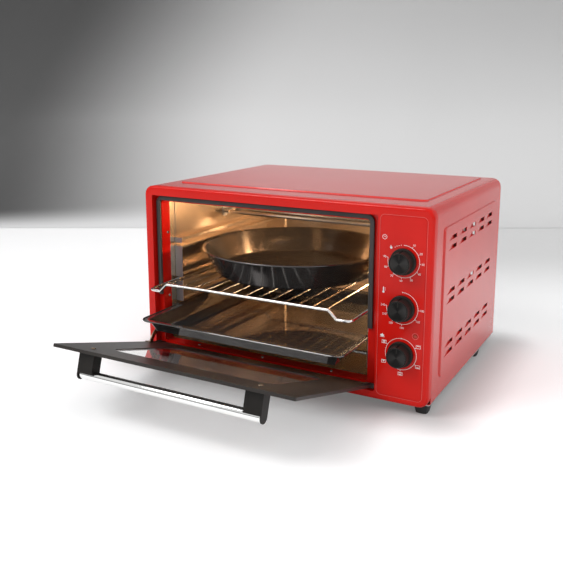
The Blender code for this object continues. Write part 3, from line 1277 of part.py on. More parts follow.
def knob(name, height, assembly):
    """A skirted knob with a pointer groove, and the shaft that it turns."""
    axis = carrier(name + "_axis", assembly, (KNOB_X, 0, height))
    back = KNOB_PANEL_GAP
    front = back + KNOB_DEPTH
    skirt = back + KNOB_SKIRT_THICKNESS
    bore = SHAFT_RADIUS + FIT
    bevel = KNOB_EDGE_RADIUS
    dish = KNOB_FACE_RADIUS - 2 * bevel
    grip = KNOB_FACE_RADIUS + KNOB_DISH_DEPTH
    profile = [
        (bore, back), (KNOB_SKIRT_RADIUS, back), (KNOB_SKIRT_RADIUS, skirt - bevel),
        (KNOB_SKIRT_RADIUS - bevel, skirt), (grip, skirt), (KNOB_FACE_RADIUS, front - bevel),
        (KNOB_FACE_RADIUS - bevel, front), (dish, front), (dish - bevel, front - KNOB_DISH_DEPTH),
        (0, front - KNOB_DISH_DEPTH), (0, back + KNOB_BORE_DEPTH), (bore, back + KNOB_BORE_DEPTH),
    ]
    shape = placed(lathe(profile, KNOB_SIDES, loop=True), axis="-Y")
    half = KNOB_POINTER_WIDTH / 2
    groove = box((-half, half), (-front - CUT_OVERRUN, -front + KNOB_POINTER_DEPTH),
                 (KNOB_FACE_RADIUS - KNOB_POINTER_LENGTH, KNOB_FACE_RADIUS + CUT_OVERRUN))
    piece(name + "_knob", cut(shape, groove), "black_plastic", axis)
    run = [Vector((0, FIT - back - KNOB_BORE_DEPTH, 0)), Vector((0, SHAFT_REACH_IN, 0))]
    shaft = tube(run, [SHAFT_RADIUS] * 2, SMALL_SIDES)
    piece(name + "_shaft", shaft, "zinc_steel", axis)


def shaft_bore(height):
    """The hole in a switch body that its shaft turns in."""
    outline = circle(SHAFT_RADIUS + FIT, (KNOB_X, height), SMALL_SIDES)
    return prism(outline, "Y", 0, SHAFT_REACH_IN + FIT)


def timer_switch(height, parent):
    start = PAINTED_SHEET + FIT
    body_end = TIMER_BODY_DEPTH
    post_end = body_end + TIMER_BELL_POST_DEPTH
    bell_end = post_end + TIMER_BELL_DEPTH
    edge = SWITCH_EDGE_RADIUS
    profile = [(0, 0), (TIMER_BODY_RADIUS - edge, 0), (TIMER_BODY_RADIUS, edge),
               (TIMER_BODY_RADIUS, body_end), (TIMER_BELL_POST_RADIUS, body_end),
               (TIMER_BELL_POST_RADIUS, post_end), (TIMER_BELL_RADIUS, post_end),
               (TIMER_BELL_RADIUS * TIMER_BELL_SHOULDER_SHARE, bell_end - edge),
               (TIMER_BELL_RADIUS * TIMER_BELL_CROWN_SHARE, bell_end),
               (0, bell_end)]
    shape = placed(lathe(profile, SMALL_SIDES), (KNOB_X, start, height), "Y")
    piece("timer_switch", cut(shape, shaft_bore(height)), "zinc_steel", parent)


def thermostat(height, parent):
    start = PAINTED_SHEET + FIT
    end = start + THERMOSTAT_DEPTH
    rect = Rect(KNOB_X - THERMOSTAT_WIDTH / 2, KNOB_X + THERMOSTAT_WIDTH / 2,
                height - THERMOSTAT_HEIGHT / 2, height + THERMOSTAT_HEIGHT / 2)
    block = prism(rounded(rect, SWITCH_EDGE_RADIUS), "Y", start, end)
    cup = prism(circle(THERMOSTAT_CUP_RADIUS, (KNOB_X, height)), "Y",
                end - CUT_OVERRUN, end + THERMOSTAT_CUP_DEPTH)
    piece("thermostat", cut(fused(block, cup), shaft_bore(height)), "ceramic", parent)


def function_switch(height, parent):
    start = PAINTED_SHEET + FIT
    end = start + SELECTOR_DEPTH
    shape = prism(circle(SELECTOR_RADIUS, (KNOB_X, height), SELECTOR_FLATS), "Y", start, end)
    tabs = []
    for a, b in circle(SELECTOR_RADIUS * SELECTOR_TAB_CIRCLE_SHARE, (KNOB_X, height), SELECTOR_TABS):
        tabs.append(box((a - SELECTOR_TAB_THICKNESS / 2, a + SELECTOR_TAB_THICKNESS / 2),
                        (end - CUT_OVERRUN, end + SELECTOR_TAB_REACH),
                        (b - SELECTOR_TAB_WIDTH / 2, b + SELECTOR_TAB_WIDTH / 2)))
    shape = cut(fused(shape, gathered(tabs)), shaft_bore(height))
    piece("function_switch", shape, "black_plastic", parent)


def indicator_lens(parent):
    behind = PAINTED_SHEET + FIT
    profile = [(0, -LENS_REACH), (LENS_RADIUS / 2, -LENS_REACH), (LENS_RADIUS, -LENS_REACH / 2),
               (LENS_RADIUS, behind), (LENS_FLANGE_RADIUS, behind),
               (LENS_FLANGE_RADIUS, behind + LENS_FLANGE_THICKNESS),
               (LENS_RADIUS, behind + LENS_FLANGE_THICKNESS), (LENS_RADIUS, behind + LENS_TAIL),
               (0, behind + LENS_TAIL)]
    shape = placed(lathe(profile, SMALL_SIDES), (LENS_X, 0, LENS_HEIGHT), "Y")
    piece("indicator_lens", shape, "amber_lens", parent)


def heat_shield(parent):
    """A sheet on a foot between the chamber's right wall and the switches."""
    floor = BASE_TOP + FIT
    back = CHAMBER_BACK - SHIELD_BACK_MARGIN
    top = BODY.high - SHIELD_TOP_MARGIN
    sheet = box((SHIELD_X, SHIELD_X + SHIELD_SHEET), (SHIELD_FRONT, back), (floor, top))
    foot = box((SHIELD_X + SHIELD_SHEET / 2, SHIELD_X + SHIELD_FOOT), (SHIELD_FRONT, back),
               (floor, floor + SHIELD_SHEET))
    through = (SHIELD_X - CUT_OVERRUN, SHIELD_X + SHIELD_SHEET + CUT_OVERRUN)
    radius = TERMINAL_RADIUS + SHIELD_TERMINAL_CLEARANCE
    holes = [prism(circle(radius, (depth, height), SMALL_SIDES), "X", *through)
             for height, depth in HEATER_TERMINALS]
    piece("heat_shield", cut(fused(sheet, foot), gathered(holes)), "zinc_steel", parent)


def terminal_block(parent):
    x, back = INLET_X, BODY_DEPTH - TERMINAL_BLOCK_BACK_MARGIN
    half = TERMINAL_BLOCK_LENGTH / 2
    floor = BASE_TOP + FIT
    top = floor + TERMINAL_BLOCK_HEIGHT
    depth = (back - TERMINAL_BLOCK_WIDTH, back)
    block = box((x - half, x + half), depth, (floor, top))
    grooves = []
    pitch = TERMINAL_BLOCK_LENGTH / (TERMINAL_BLOCK_GROOVES + 1)
    for i in range(TERMINAL_BLOCK_GROOVES):
        left = x - half + (i + 1) * pitch - TERMINAL_BLOCK_GROOVE_WIDTH / 2
        grooves.append(box((left, left + TERMINAL_BLOCK_GROOVE_WIDTH),
                           (depth[0] - CUT_OVERRUN, depth[1] + CUT_OVERRUN),
                           (top - TERMINAL_BLOCK_GROOVE_DEPTH, top + CUT_OVERRUN)))
    piece("terminal_block", cut(block, gathered(grooves)), "ceramic", parent)


def controls(assembly):
    for name, height in zip(KNOB_NAMES, KNOB_HEIGHTS):
        knob(name, height, assembly)
    function_switch(KNOB_HEIGHTS[0], assembly)
    thermostat(KNOB_HEIGHTS[1], assembly)
    timer_switch(KNOB_HEIGHTS[2], assembly)
    indicator_lens(assembly)
    heat_shield(assembly)
    terminal_block(assembly)


def stand_on_origin(assembly):
    """Moves the whole oven so that the middle of its bounding box's underside is the origin."""
    bpy.context.view_layer.update()
    points = [made.matrix_world @ vertex.co
              for made in bpy.data.objects if made.type == "MESH"
              for vertex in made.data.vertices]
    lows = [min(point[i] for point in points) for i in range(3)]
    highs = [max(point[i] for point in points) for i in range(3)]
    assembly.location = (-(lows[0] + highs[0]) / 2, -(lows[1] + highs[1]) / 2, -lows[2])


def main():
    for old in list(bpy.data.objects):
        bpy.data.objects.remove(old)
    assembly = carrier("assembly", None)
    outer_casing(assembly)
    front_panel(assembly)
    rear_panel(assembly)
    cord_grommet(assembly)
    base_plate(assembly)
    feet(assembly)
    chamber(assembly)
    side_runners(assembly)
    door_gasket(assembly)
    heating(assembly)
    lamp(assembly)
    door(assembly)
    cooking_ware(assembly)
    controls(assembly)
    stand_on_origin(assembly)


main()
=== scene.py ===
"""Looks of the mini oven: finishes, dial prints, small fasteners and finer forms round the frame.

Lengths are metres in the frame's own axes: X to the right, Y to the back, Z up, floor at zero.
"""

import json
import math

import bmesh
import bpy
from mathutils import Matrix, Vector

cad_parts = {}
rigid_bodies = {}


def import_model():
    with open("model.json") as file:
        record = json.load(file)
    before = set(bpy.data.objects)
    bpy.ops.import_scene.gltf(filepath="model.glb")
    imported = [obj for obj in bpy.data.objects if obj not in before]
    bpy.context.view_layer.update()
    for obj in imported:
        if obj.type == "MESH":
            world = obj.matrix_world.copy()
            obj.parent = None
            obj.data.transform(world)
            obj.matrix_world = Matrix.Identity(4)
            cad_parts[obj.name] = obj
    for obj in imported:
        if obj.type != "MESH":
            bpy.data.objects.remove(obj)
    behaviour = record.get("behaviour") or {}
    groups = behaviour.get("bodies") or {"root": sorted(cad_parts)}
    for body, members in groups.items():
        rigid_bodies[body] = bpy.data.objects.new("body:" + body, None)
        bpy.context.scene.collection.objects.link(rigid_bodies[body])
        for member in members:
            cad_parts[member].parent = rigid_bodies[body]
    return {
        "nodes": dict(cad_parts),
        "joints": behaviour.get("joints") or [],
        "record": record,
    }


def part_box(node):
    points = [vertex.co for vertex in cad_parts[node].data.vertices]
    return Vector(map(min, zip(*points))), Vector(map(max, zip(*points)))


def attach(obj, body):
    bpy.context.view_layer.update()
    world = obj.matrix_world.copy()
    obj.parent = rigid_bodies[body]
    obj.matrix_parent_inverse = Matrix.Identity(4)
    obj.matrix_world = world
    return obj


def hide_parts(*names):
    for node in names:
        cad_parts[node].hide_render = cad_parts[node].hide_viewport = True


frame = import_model()
nodes = frame["nodes"]
joints = {joint["name"]: joint for joint in frame["joints"]}
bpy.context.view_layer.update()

# Camera: the photograph's frame is taken to be 563 pixels square
IMAGE_PIXELS = 563
FOCAL_PIXELS = 755.0
LENS_SHIFT = -0.09
SENSOR_MM = 36.0
CLIP_END = 50.0
CAMERA_PLACE = Vector((0.5782, -1.0938, 0.4916))
CAMERA_YAW = math.radians(28.98)
CAMERA_PITCH = math.radians(11.07)

# Places that come from the frame
panel_low, panel_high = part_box("front_panel")
FACE_Y = panel_low.y
HINGE = Vector(joints["door_hinge"]["pos_m"])
DOOR_OPEN = math.radians(joints["door_hinge"]["range_deg"][1])
DIALS = {name: Vector(joints[name + "_turn"]["pos_m"])
         for name in ("function", "temperature", "timer")}

# Shading
SMOOTH_ANGLE = math.radians(32)
PRESSING_ANGLE = math.radians(24.5)
PRESSINGS = ("outer_casing",)
SOFT_EDGE_ANGLE = math.radians(50)
SOFT_EDGES = {"door_frame": 0.0006}
FLAT_ANGLE = math.radians(1)
WELD = 0.00001
NODE_FINISHES = {"front_panel": "front_enamel", "door_stay": "steel_painted_shade",
                 "heat_shield": "zinc_painted_red_bounce", "lamp_holder": "zinc_painted_red_bounce"}

# Where the middle point of a corner lies that is rounded in two steps
HALFWAY = 0.3

# Round pan
PAN_WALL_SLOPE = 0.022
PAN_BEND = 0.006
PAN_BEAD = 0.0018
PAN_SHEET = 0.0014
PAN_POLE = 0.002
PAN_SIDES = 128

# Wire rack
RACK_RAIL_RADIUS = 0.0025
RACK_RAIL_SIDES = 16
RACK_WIRE_RADIUS = 0.0014
RACK_WIRE_SIDES = 12
RACK_WIRES = 13
RACK_STEP_START = 0.023
RACK_STEP_RUN = 0.013
RACK_STEP_RADIUS = 0.004
RACK_CORNER_RADIUS = 0.011
RACK_SHARP_ANGLE = math.radians(50)

# Baking tray; a neck turns the wall into the rim, in steps inwards and upwards
TRAY_RIM_WIDTH = 0.011
TRAY_RIM_RADIUS = 0.017
TRAY_WALL_SLOPE = 0.009
TRAY_SHEET = 0.0010
TRAY_BEND = 0.003
TRAY_BEAD = 0.0012
TRAY_BEAD_RISE = 0.0006
TRAY_BEAD_FROM = 250
TRAY_BEAD_SWEEP = 320
TRAY_BEAD_STEPS = 10
TRAY_OUTER_NECK = ((0.0004, -0.0012), (-0.0004, -0.0003), (-0.0014, 0))
TRAY_INNER_NECK = ((-0.0006, 0), (0.0008, -0.0004), (0.0014, -0.0016))

# Door gasket
GASKET_WIDTH = 0.0078
GASKET_INSET = 0.0020
GASKET_BEND = 0.009
GASKET_SQUARE = 0.5
GASKET_SIDES = 20

# Handle: the brackets' end caps in the frame and here, and the rod
CAP_SOLID = 0.0042
CAP_THIN = 0.0018
CAP_SLACK = 0.0004
CAP_BEVEL = 0.0005
ROD_RADIUS = 0.0071
ROD_BEVEL = 0.0008
ROD_POLE = 0.2
ROD_SIDES = 64

# Knobs; the waist runs from skirt to grip, and the disc's profile goes down from the knob's front
KNOB_POLE = 0.3
KNOB_FOOT_EDGE = 0.0004
KNOB_SKIRT = 0.0045
KNOB_SKIRT_EDGE = 0.0010
KNOB_WAIST = ((0.0010, 0.0001), (0.0007, 0.0012))
KNOB_FACE_RADIUS = 0.0160
KNOB_EDGE = 0.0012
KNOB_RIM = ((0.0008, 0.0004), (0.0010, 0.0009))
KNOB_RIBS = 60
KNOB_RIB = 0.00025
KNOB_RIB_SIDES = 6
KNOB_NOTCH = 0.0019
KNOB_NOTCH_ANGLE = math.radians(5)
DISC_GAP = 0.0011
DISC_PROFILE = ((1.0, 0.00105), (1.0, 0.0007), (0.93, 0.00062), (0.02, 0.00060))
DISC_SIDES = 96
POINTER_INNER = 0.0065
POINTER_HALF = 0.0008
POINTER_PAST_DISC = 0.0006
POINTER_LEVELS = (0.0009, 0.0002)

# Prints; bars are width and height, places are distances from the dial's ring, angles are degrees
SKIN_GAP = 0.00008
PRINT_LINE = 0.0006
PRINT_DOT = 0.0009
DIAL_RING = 0.0243
TICK = (0.0007, 0.0026)
TICK_OUT = 0.0010
DIGIT_SIZE = 0.0044
TIMER_MARKS = [(31 * k, str(10 * k)) for k in range(1, 10)]
TIMER_END = 280
TIMER_DIGITS_OUT = 0.0052
STAY_ON_ANGLES = (-34, -26, -18, -10)
STAY_ON_BAR = (0.0013, 0.0008)
STAY_ON_SIGN = (0.0030, -46)
STAY_ON_SPOT = 0.0019
STAY_ON_STEM = (-0.0004, 0.0022)
STAY_ON_STEM_BAR = (0.0012, 0.0024, -12)
HEAT_MARKS = [(90, "100"), (125, "120"), (180, "150"), (215, "180"), (246, "210"), (273, "240")]
HEAT_DIGITS_OUT = 0.0058
FUNCTION_SIGNS = [(60, (0.26,), False), (120, (-0.26,), False), (180, (0.26, -0.26), False),
                  (240, (0.26,), True), (300, (0.26, -0.26), True)]
FUNCTION_SIGNS_OUT = 0.0066
OVEN_SIGN = (0.0066, 0.0046)
HEAT_BAR = (0.62, 0.0009)

# Signs beside the dials: their height over the dial, and their bars as (x, z, width, height)
SIGN_LEFT = -0.0300
CLOCK_RISE = 0.0340
CLOCK_RADIUS = 0.0034
CLOCK_BARS = [(0, 0.0009, 0.0006, 0.0022), (0.0007, 0, 0.0018, 0.0006)]
BULB_RISE = 0.0240
BULB_DROP = 0.0024
BULB_RADIUS = 0.0017
BULB_BARS = [(0, 0.0016, 0.0014, 0.0074), (0.0024, 0.0002, 0.0016, 0.0005),
             (0.0024, 0.0020, 0.0016, 0.0005), (0.0024, 0.0038, 0.0016, 0.0005)]
DISH_RISE = 0.0250
DISH_RADIUS = 0.0031
DISH_SQUASH = 0.55
DISH_BARS = [(0, 0.0022, 0.0014, 0.0009), (0, -0.0024, 0.0072, 0.0006)]
LAMP_RING = 0.0046

# The control field's edges from the panel's: left and right from its right side, bottom, top
CONTROL_FIELD = (0.082, 0.010, 0.010, 0.014)
FIELD_RADIUS = 0.0070
FIELD_LINE = 0.0005

# Screws; the head and its cross are in shares of the radius and of the rise
SCREW_RISE = 0.45
SCREW_HEAD = ((1, 0), (1, 0.35), (0.93, 0.7), (0.75, 1), (0.05, 1.12))
SCREW_CROSS = ((1.1, 0.2), (0.2, 1.1))
SCREW_CROSS_RISE = 1.16
SCREW_SIDES = 32
SCREW_LIFT = 0.00005
DOOR_SCREWS = (("left", -0.187), ("right", 0.102))
DOOR_SCREW_RADIUS = 0.0038
DOOR_SCREW_EDGE = 0.035
DOOR_HALF = 0.0024
MOUTH_EDGES = (-0.2335, 0.1575, 0.0365)
LIP_SCREW_RADIUS = 0.0026
LOWER_LIP_SCREWS = [(-0.166, -0.049), (-0.037, -0.049), (0.091, -0.049)]
SIDE_LIP_SCREWS = [(-0.0440, 0.1174), (-0.0440, 0.2328)]
REAR_SCREW_RADIUS = 0.0027
REAR_SCREW_INSET = 0.009

# Runner flanges: the heights between which each one stands
FLANGES = [(0.0430, 0.0972), (0.1030, 0.1421), (0.1480, 0.2048), (0.2110, 0.2199)]
FLANGE_REACH = 0.0149
FLANGE_SHEET = 0.0008
FLANGE_CORNER = 0.0016

# Paper of floor and backdrop
PAPER_SPECULAR = 0.15
PAPER_GRAIN = 30
PAPER_ROUGH = (0.55, 0.65)

# Floor; its tone has a painted contact shadow at the casing, and painted shade that makes it greyer
# where both distances from the middle, towards the backdrop and along it, lie past the given
# stretches
FLOOR_SPAN = 8.0
FLOOR_GLOW = 0.24
FLOOR_WHITE = (0.93, 0.93, 0.935)
FLOOR_PAINTED_SHADE = (0.57, 0.57, 0.57)
FLOOR_PAINTED_SHADOW = (0.48, 0.475, 0.475)
FLOOR_MOTTLE = (0.97, 1.0)
PAINTED_SHADOW_REACH = 0.105
TO_BACKDROP = (-0.485, 0.875)
TO_BACKDROP_SHADE = (0.15, 0.95)
ALONG_BACKDROP = (0.875, 0.485)
ALONG_BACKDROP_SHADE = (-0.35, 0.25)

# The backdrop's tone is painted light and shade: darker to the left and upwards, and white at its
# foot.
# Backdrop; a ramp is two places in its own axes and the shares at them, and a tilt slants one
BACKDROP_PLACE = Vector((-0.662, 1.146, 0.0))
BACKDROP_TURN = math.radians(29.0)
BACKDROP_LIFT = 0.001
BACKDROP_BEND = 0.45
BACKDROP_BEND_STEPS = 16
BACKDROP_HEIGHT = 3.0
BACKDROP_HALF = 6.0
BACKDROP_GLOW = 0.0
BACKDROP_SHADE_ACROSS = (-1.08, -0.07, 0.105, 0.75)
BACKDROP_TILT = (0.35, 0.65)
BACKDROP_SHADE_UP = (0.30, 0.90, 1.0, 0.70)
BACKDROP_FOOT = (0.085, 0.27, 1.0, 0.0)
BACKDROP_FOOT_TILT = 0.09
BACKDROP_LEFT = (-0.45, 0.1, 1.0, 0.0)
BACKDROP_PAINTED_LIGHT = (0.90, 0.90, 0.905)
BACKDROP_MOTTLE = (0.98, 1.02)

# Lights: place, target, size and power, and the sky's strength from the horizon upwards
KEY_LIGHT = ((-1.2, -1.6, 2.2), (0, 0, 0.1), (1.3, 1.3), 38)
SIDE_LIGHT = ((2.2, 0.2, 1.4), (0, 0, 0.1), (1.4, 1.8), 12)
SKY = (0.0, 0.40, 0.16, 0.82)
INNER_GAP = 0.004
LAMP_TARGET = (-0.2, 0.05, 0.16)
LAMP_SIZE = (0.03, 0.03)
LAMP_POWER = 2.7
LAMP_COLOUR = (1.0, 0.64, 0.35)
GLOW_RISE = 0.014
GLOW_DROP = 0.02
GLOW_SIZE = (0.12, 0.020)
GLOW_POWER = 0.24
GLOW_COLOUR = (1.0, 0.66, 0.38)

# Surfaces: two close tones, the range of roughness, the grain's scale, and the bump's strength and
# depth. Patch is the scale of the tones' patches; names with capitals are values of the shader.
SURFACES = {
    "red_enamel": dict(
        tones=((0.560, 0.010, 0.006), (0.620, 0.013, 0.008)), rough=(0.20, 0.27), grain=900,
        bump=(0.05, 0.0001), Coat_Weight=0.42, Coat_Roughness=0.06, Specular_IOR_Level=0.4),
    "aluminised_steel": dict(
        tones=((0.650, 0.520, 0.385), (0.710, 0.580, 0.445)), rough=(0.20, 0.26), grain=900,
        bump=(0.03, 0.0001), patch=6, Metallic=0.85),
    "zinc_steel": dict(
        tones=((0.47, 0.47, 0.46), (0.60, 0.60, 0.60)), rough=(0.30, 0.48), grain=160,
        bump=(0.10, 0.0002), patch=30, Metallic=0.95),
    "black_enamel": dict(
        tones=((0.066, 0.062, 0.059), (0.088, 0.083, 0.079)), rough=(0.06, 0.09), grain=90,
        bump=(0.01, 0.0001), Coat_Weight=1.0, Coat_Roughness=0.03, Coat_IOR=1.6, Metallic=0.6),
    "pan_enamel": dict(
        tones=((0.082, 0.077, 0.075), (0.104, 0.098, 0.095)), rough=(0.12, 0.16), grain=90,
        bump=(0.01, 0.0001), Coat_Weight=0.3, Coat_Roughness=0.06, Coat_IOR=1.5, Metallic=0.8),
    "front_enamel": dict(
        tones=((0.600, 0.0080, 0.0040), (0.650, 0.0100, 0.0052)), rough=(0.14, 0.19), grain=900,
        bump=(0.04, 0.0001), Coat_Weight=0.09, Coat_Roughness=0.03, Specular_IOR_Level=0.15),
    # Zinc steel tinted red and lightened: painted red bounce light off the casing's red inside,
    # seen through the louvres.
    "zinc_painted_red_bounce": dict(
        tones=((0.38, 0.170, 0.150), (0.46, 0.215, 0.190)), rough=(0.50, 0.66), grain=160,
        bump=(0.10, 0.0002), patch=30, Metallic=0.3),
    "flange_steel": dict(
        tones=((0.36, 0.38, 0.41), (0.46, 0.48, 0.51)), rough=(0.34, 0.46), grain=600,
        bump=(0.04, 0.0001), patch=20, Metallic=0.75),
    # Steel darkened and tinted brown: painted shade and a painted golden reflection of the chamber.
    "steel_painted_shade": dict(
        tones=((0.16, 0.12, 0.085), (0.24, 0.18, 0.125)), rough=(0.22, 0.34), grain=260,
        bump=(0.08, 0.0001), patch=30, Metallic=0.9),
    "black_paint": dict(
        tones=((0.022, 0.018, 0.016), (0.033, 0.028, 0.025)), rough=(0.36, 0.48), grain=1600,
        bump=(0.10, 0.0001), Coat_Weight=0.05, Coat_Roughness=0.2, Specular_IOR_Level=0.3),
    "black_plastic": dict(
        tones=((0.011, 0.0095, 0.0085), (0.018, 0.016, 0.014)), rough=(0.34, 0.46), grain=1800,
        bump=(0.14, 0.0001), Specular_IOR_Level=0.2),
    "chrome": dict(
        tones=((0.66, 0.65, 0.63), (0.80, 0.79, 0.77)), rough=(0.10, 0.20), grain=420,
        bump=(0.12, 0.0002), Metallic=1.0),
    "polished": dict(
        tones=((0.80, 0.80, 0.79), (0.88, 0.88, 0.87)), rough=(0.05, 0.09), grain=300,
        bump=(0.02, 0.0001), stretch=(0.05, 1, 1), Metallic=1.0),
    "white_print": dict(
        tones=((0.84, 0.83, 0.82), (0.90, 0.89, 0.88)), rough=(0.40, 0.50), grain=900,
        bump=(0.05, 0.0001)),
    "rose_print": dict(
        tones=((0.68, 0.11, 0.10), (0.74, 0.15, 0.14)), rough=(0.40, 0.50), grain=900,
        bump=(0.05, 0.0001)),
    # The screws' cross: a dark sheet, painted shade of the recess.
    "cross_painted_shade": dict(
        tones=((0.05, 0.05, 0.05), (0.08, 0.08, 0.08)), rough=(0.50, 0.60), grain=900,
        bump=(0.05, 0.0001)),
    "silicone": dict(
        tones=((0.028, 0.024, 0.024), (0.042, 0.037, 0.037)), rough=(0.46, 0.60), grain=700,
        bump=(0.30, 0.0002)),
    "ceramic": dict(
        tones=((0.24, 0.17, 0.15), (0.32, 0.23, 0.20)), rough=(0.50, 0.70), grain=500,
        bump=(0.25, 0.0003)),
    "heater_sheath": dict(
        tones=((0.80, 0.77, 0.73), (0.90, 0.87, 0.83)), rough=(0.12, 0.20), grain=500,
        bump=(0.05, 0.0001), patch=60, Metallic=0.9),
    "amber_lens": dict(
        tones=((0.70, 0.060, 0.030), (0.80, 0.090, 0.045)), rough=(0.10, 0.18), grain=600,
        bump=(0.05, 0.0001), Transmission_Weight=0.5, IOR=1.49),
    "rubber": dict(
        tones=((0.016, 0.016, 0.016), (0.028, 0.028, 0.028)), rough=(0.62, 0.80), grain=900,
        bump=(0.30, 0.0003)),
}

# Glass: tones, roughness, and the scale of smears and waves
GLASS_TONES = ((0.78, 0.77, 0.76), (0.85, 0.84, 0.83))
GLASS_ROUGH = (0.0, 0.03)
GLASS_SMEARS = 24
GLASS_WAVES = 9
GLASS_BUMP = (0.01, 0.0001)

# The knobs' spun faces: tones of the two wedges of painted sheen, the marks of the lathe, and their
# share
SPUN_SHEEN_TONES = ((0.006, 0.006, 0.006), (0.036, 0.034, 0.033))
SPUN_SHEEN_WEDGE = (-0.6, 0.6)
SPUN_MARKS = 9000.0
SPUN_MARK_TONE = (0.050, 0.048, 0.047)
SPUN_MARK_SHARE = 0.25
SPUN_ROUGH = (0.30, 0.36)


# Node trees and finishes

class Nodes:
    """A node tree under construction."""

    def __init__(self, tree):
        self.tree = tree

    def node(self, kind, **settings):
        """A new node; a setting is a property of the node, or else the value of an input."""
        made = self.tree.nodes.new(kind)
        for name, value in settings.items():
            if name in made.bl_rna.properties:
                setattr(made, name, value)
            else:
                made.inputs[name.replace("_", " ")].default_value = value
        return made

    def link(self, source, target):
        self.tree.links.new(source, target)

    def axes(self, coordinates):
        """X, Y and Z of one kind of texture coordinates."""
        where = self.node("ShaderNodeTexCoord")
        parts = self.node("ShaderNodeSeparateXYZ")
        self.link(where.outputs[coordinates], parts.inputs["Vector"])
        return parts.outputs

    def maths(self, operation, first, second=0.0):
        """Two numbers put together; each is a socket or a plain number."""
        made = self.node("ShaderNodeMath", operation=operation)
        for i, value in enumerate((first, second)):
            if isinstance(value, (int, float)):
                made.inputs[i].default_value = value
            else:
                self.link(value, made.inputs[i])
        return made.outputs[0]

    def ranged(self, value, low, high, start=0.3, end=0.7, kind="LINEAR"):
        """A number taken from the stretch of start to end to that of low to high."""
        made = self.node("ShaderNodeMapRange", interpolation_type=kind,
                         From_Min=start, From_Max=end, To_Min=low, To_Max=high)
        self.link(value, made.inputs["Value"])
        return made.outputs["Result"]

    def ramp(self, value, first, last, low, high):
        """A soft change of a number from low to high between two places."""
        return self.ranged(value, low, high, first, last, "SMOOTHSTEP")


class Finish(Nodes):
    """A procedural material under construction."""

    def __init__(self, name, **plain):
        self.material = bpy.data.materials.new(name)
        self.material.use_nodes = True
        super().__init__(self.material.node_tree)
        self.shader = self.tree.nodes["Principled BSDF"]
        for socket, value in plain.items():
            self.shader.inputs[socket.replace("_", " ")].default_value = value

    def noise(self, scale, detail, stretch=(1, 1, 1)):
        """Noise in the object's own coordinates."""
        where = self.node("ShaderNodeTexCoord")
        mapping = self.node("ShaderNodeMapping", Scale=stretch)
        made = self.node("ShaderNodeTexNoise", Scale=scale, Detail=detail)
        self.link(where.outputs["Object"], mapping.inputs["Vector"])
        self.link(mapping.outputs["Vector"], made.inputs["Vector"])
        return made.outputs["Fac"]

    def mixed(self, share, first, second):
        """Two colours mixed; each is a socket or three plain numbers."""
        made = self.node("ShaderNodeMix", data_type="RGBA")
        for socket, value in (("A", first), ("B", second)):
            target = next(s for s in made.inputs if s.name == socket and s.type == "RGBA")
            if isinstance(value, tuple):
                target.default_value = (*value, 1)
            else:
                self.link(value, target)
        self.link(share, made.inputs["Factor"])
        return next(s for s in made.outputs if s.type == "RGBA")

    def grey(self, value):
        tone = self.node("ShaderNodeCombineColor")
        for channel in ("Red", "Green", "Blue"):
            self.link(value, tone.inputs[channel])
        return tone.outputs["Color"]

    def colour(self, value):
        self.link(value, self.shader.inputs["Base Color"])

    def rough(self, value):
        self.link(value, self.shader.inputs["Roughness"])

    def bump(self, height, strength, distance):
        made = self.node("ShaderNodeBump", Strength=strength, Distance=distance)
        self.link(height, made.inputs["Height"])
        self.link(made.outputs["Normal"], self.shader.inputs["Normal"])


def plain_finish(name, tones, rough, grain, bump, stretch=(1, 1, 1), patch=14.0, **plain):
    """Two close tones in soft patches, a roughness range and a fine grain."""
    made = Finish(name, **plain)
    made.colour(made.mixed(made.ranged(made.noise(patch, 4.0), 0, 1), *tones))
    fine = made.noise(grain, 4.0, stretch)
    made.rough(made.ranged(fine, *rough))
    made.bump(fine, *bump)
    return made.material


def glass_finish():
    """Clear glass, a little grey, with faint smears and hardly any waviness."""
    made = Finish("glass", Metallic=0.0, IOR=1.7, Transmission_Weight=1.0)
    smear = made.noise(GLASS_SMEARS, 4.0)
    made.colour(made.mixed(made.ranged(smear, 0, 1), *GLASS_TONES))
    made.rough(made.ranged(smear, *GLASS_ROUGH))
    made.bump(made.noise(GLASS_WAVES, 1.0), *GLASS_BUMP)
    return made.material


def spun_face():
    """Dark metal turned on a lathe, with a painted sheen of lighter and darker wedges, and its
    sheen across the marks.
    """
    made = Finish("spun_face", Metallic=0.85, Anisotropic=0.85)
    rings = made.noise(SPUN_MARKS, 1.0)
    own = made.axes("Generated")
    x, z = (made.maths("SUBTRACT", own[axis], 0.5) for axis in ("X", "Z"))
    # Painted sheen: two opposite wedges lighter and two darker, by the angle round the face.
    painted_sheen = made.maths("COSINE", made.maths("MULTIPLY", made.maths("ARCTAN2", z, x), 2.0))
    tones = made.mixed(made.ranged(painted_sheen, 0, 1, *SPUN_SHEEN_WEDGE), *SPUN_SHEEN_TONES)
    made.colour(made.mixed(made.ranged(rings, 0, SPUN_MARK_SHARE), tones, SPUN_MARK_TONE))
    made.rough(made.ranged(rings, *SPUN_ROUGH))
    round_y = made.node("ShaderNodeTangent", direction_type="RADIAL", axis="Y")
    made.link(round_y.outputs["Tangent"], made.shader.inputs["Tangent"])
    return made.material


FINISHES = {name: plain_finish(name, **surface) for name, surface in SURFACES.items()}
FINISHES["glass"] = glass_finish()
FINISHES["spun_face"] = spun_face()


# Smooth shading of the frame's own faceted nodes

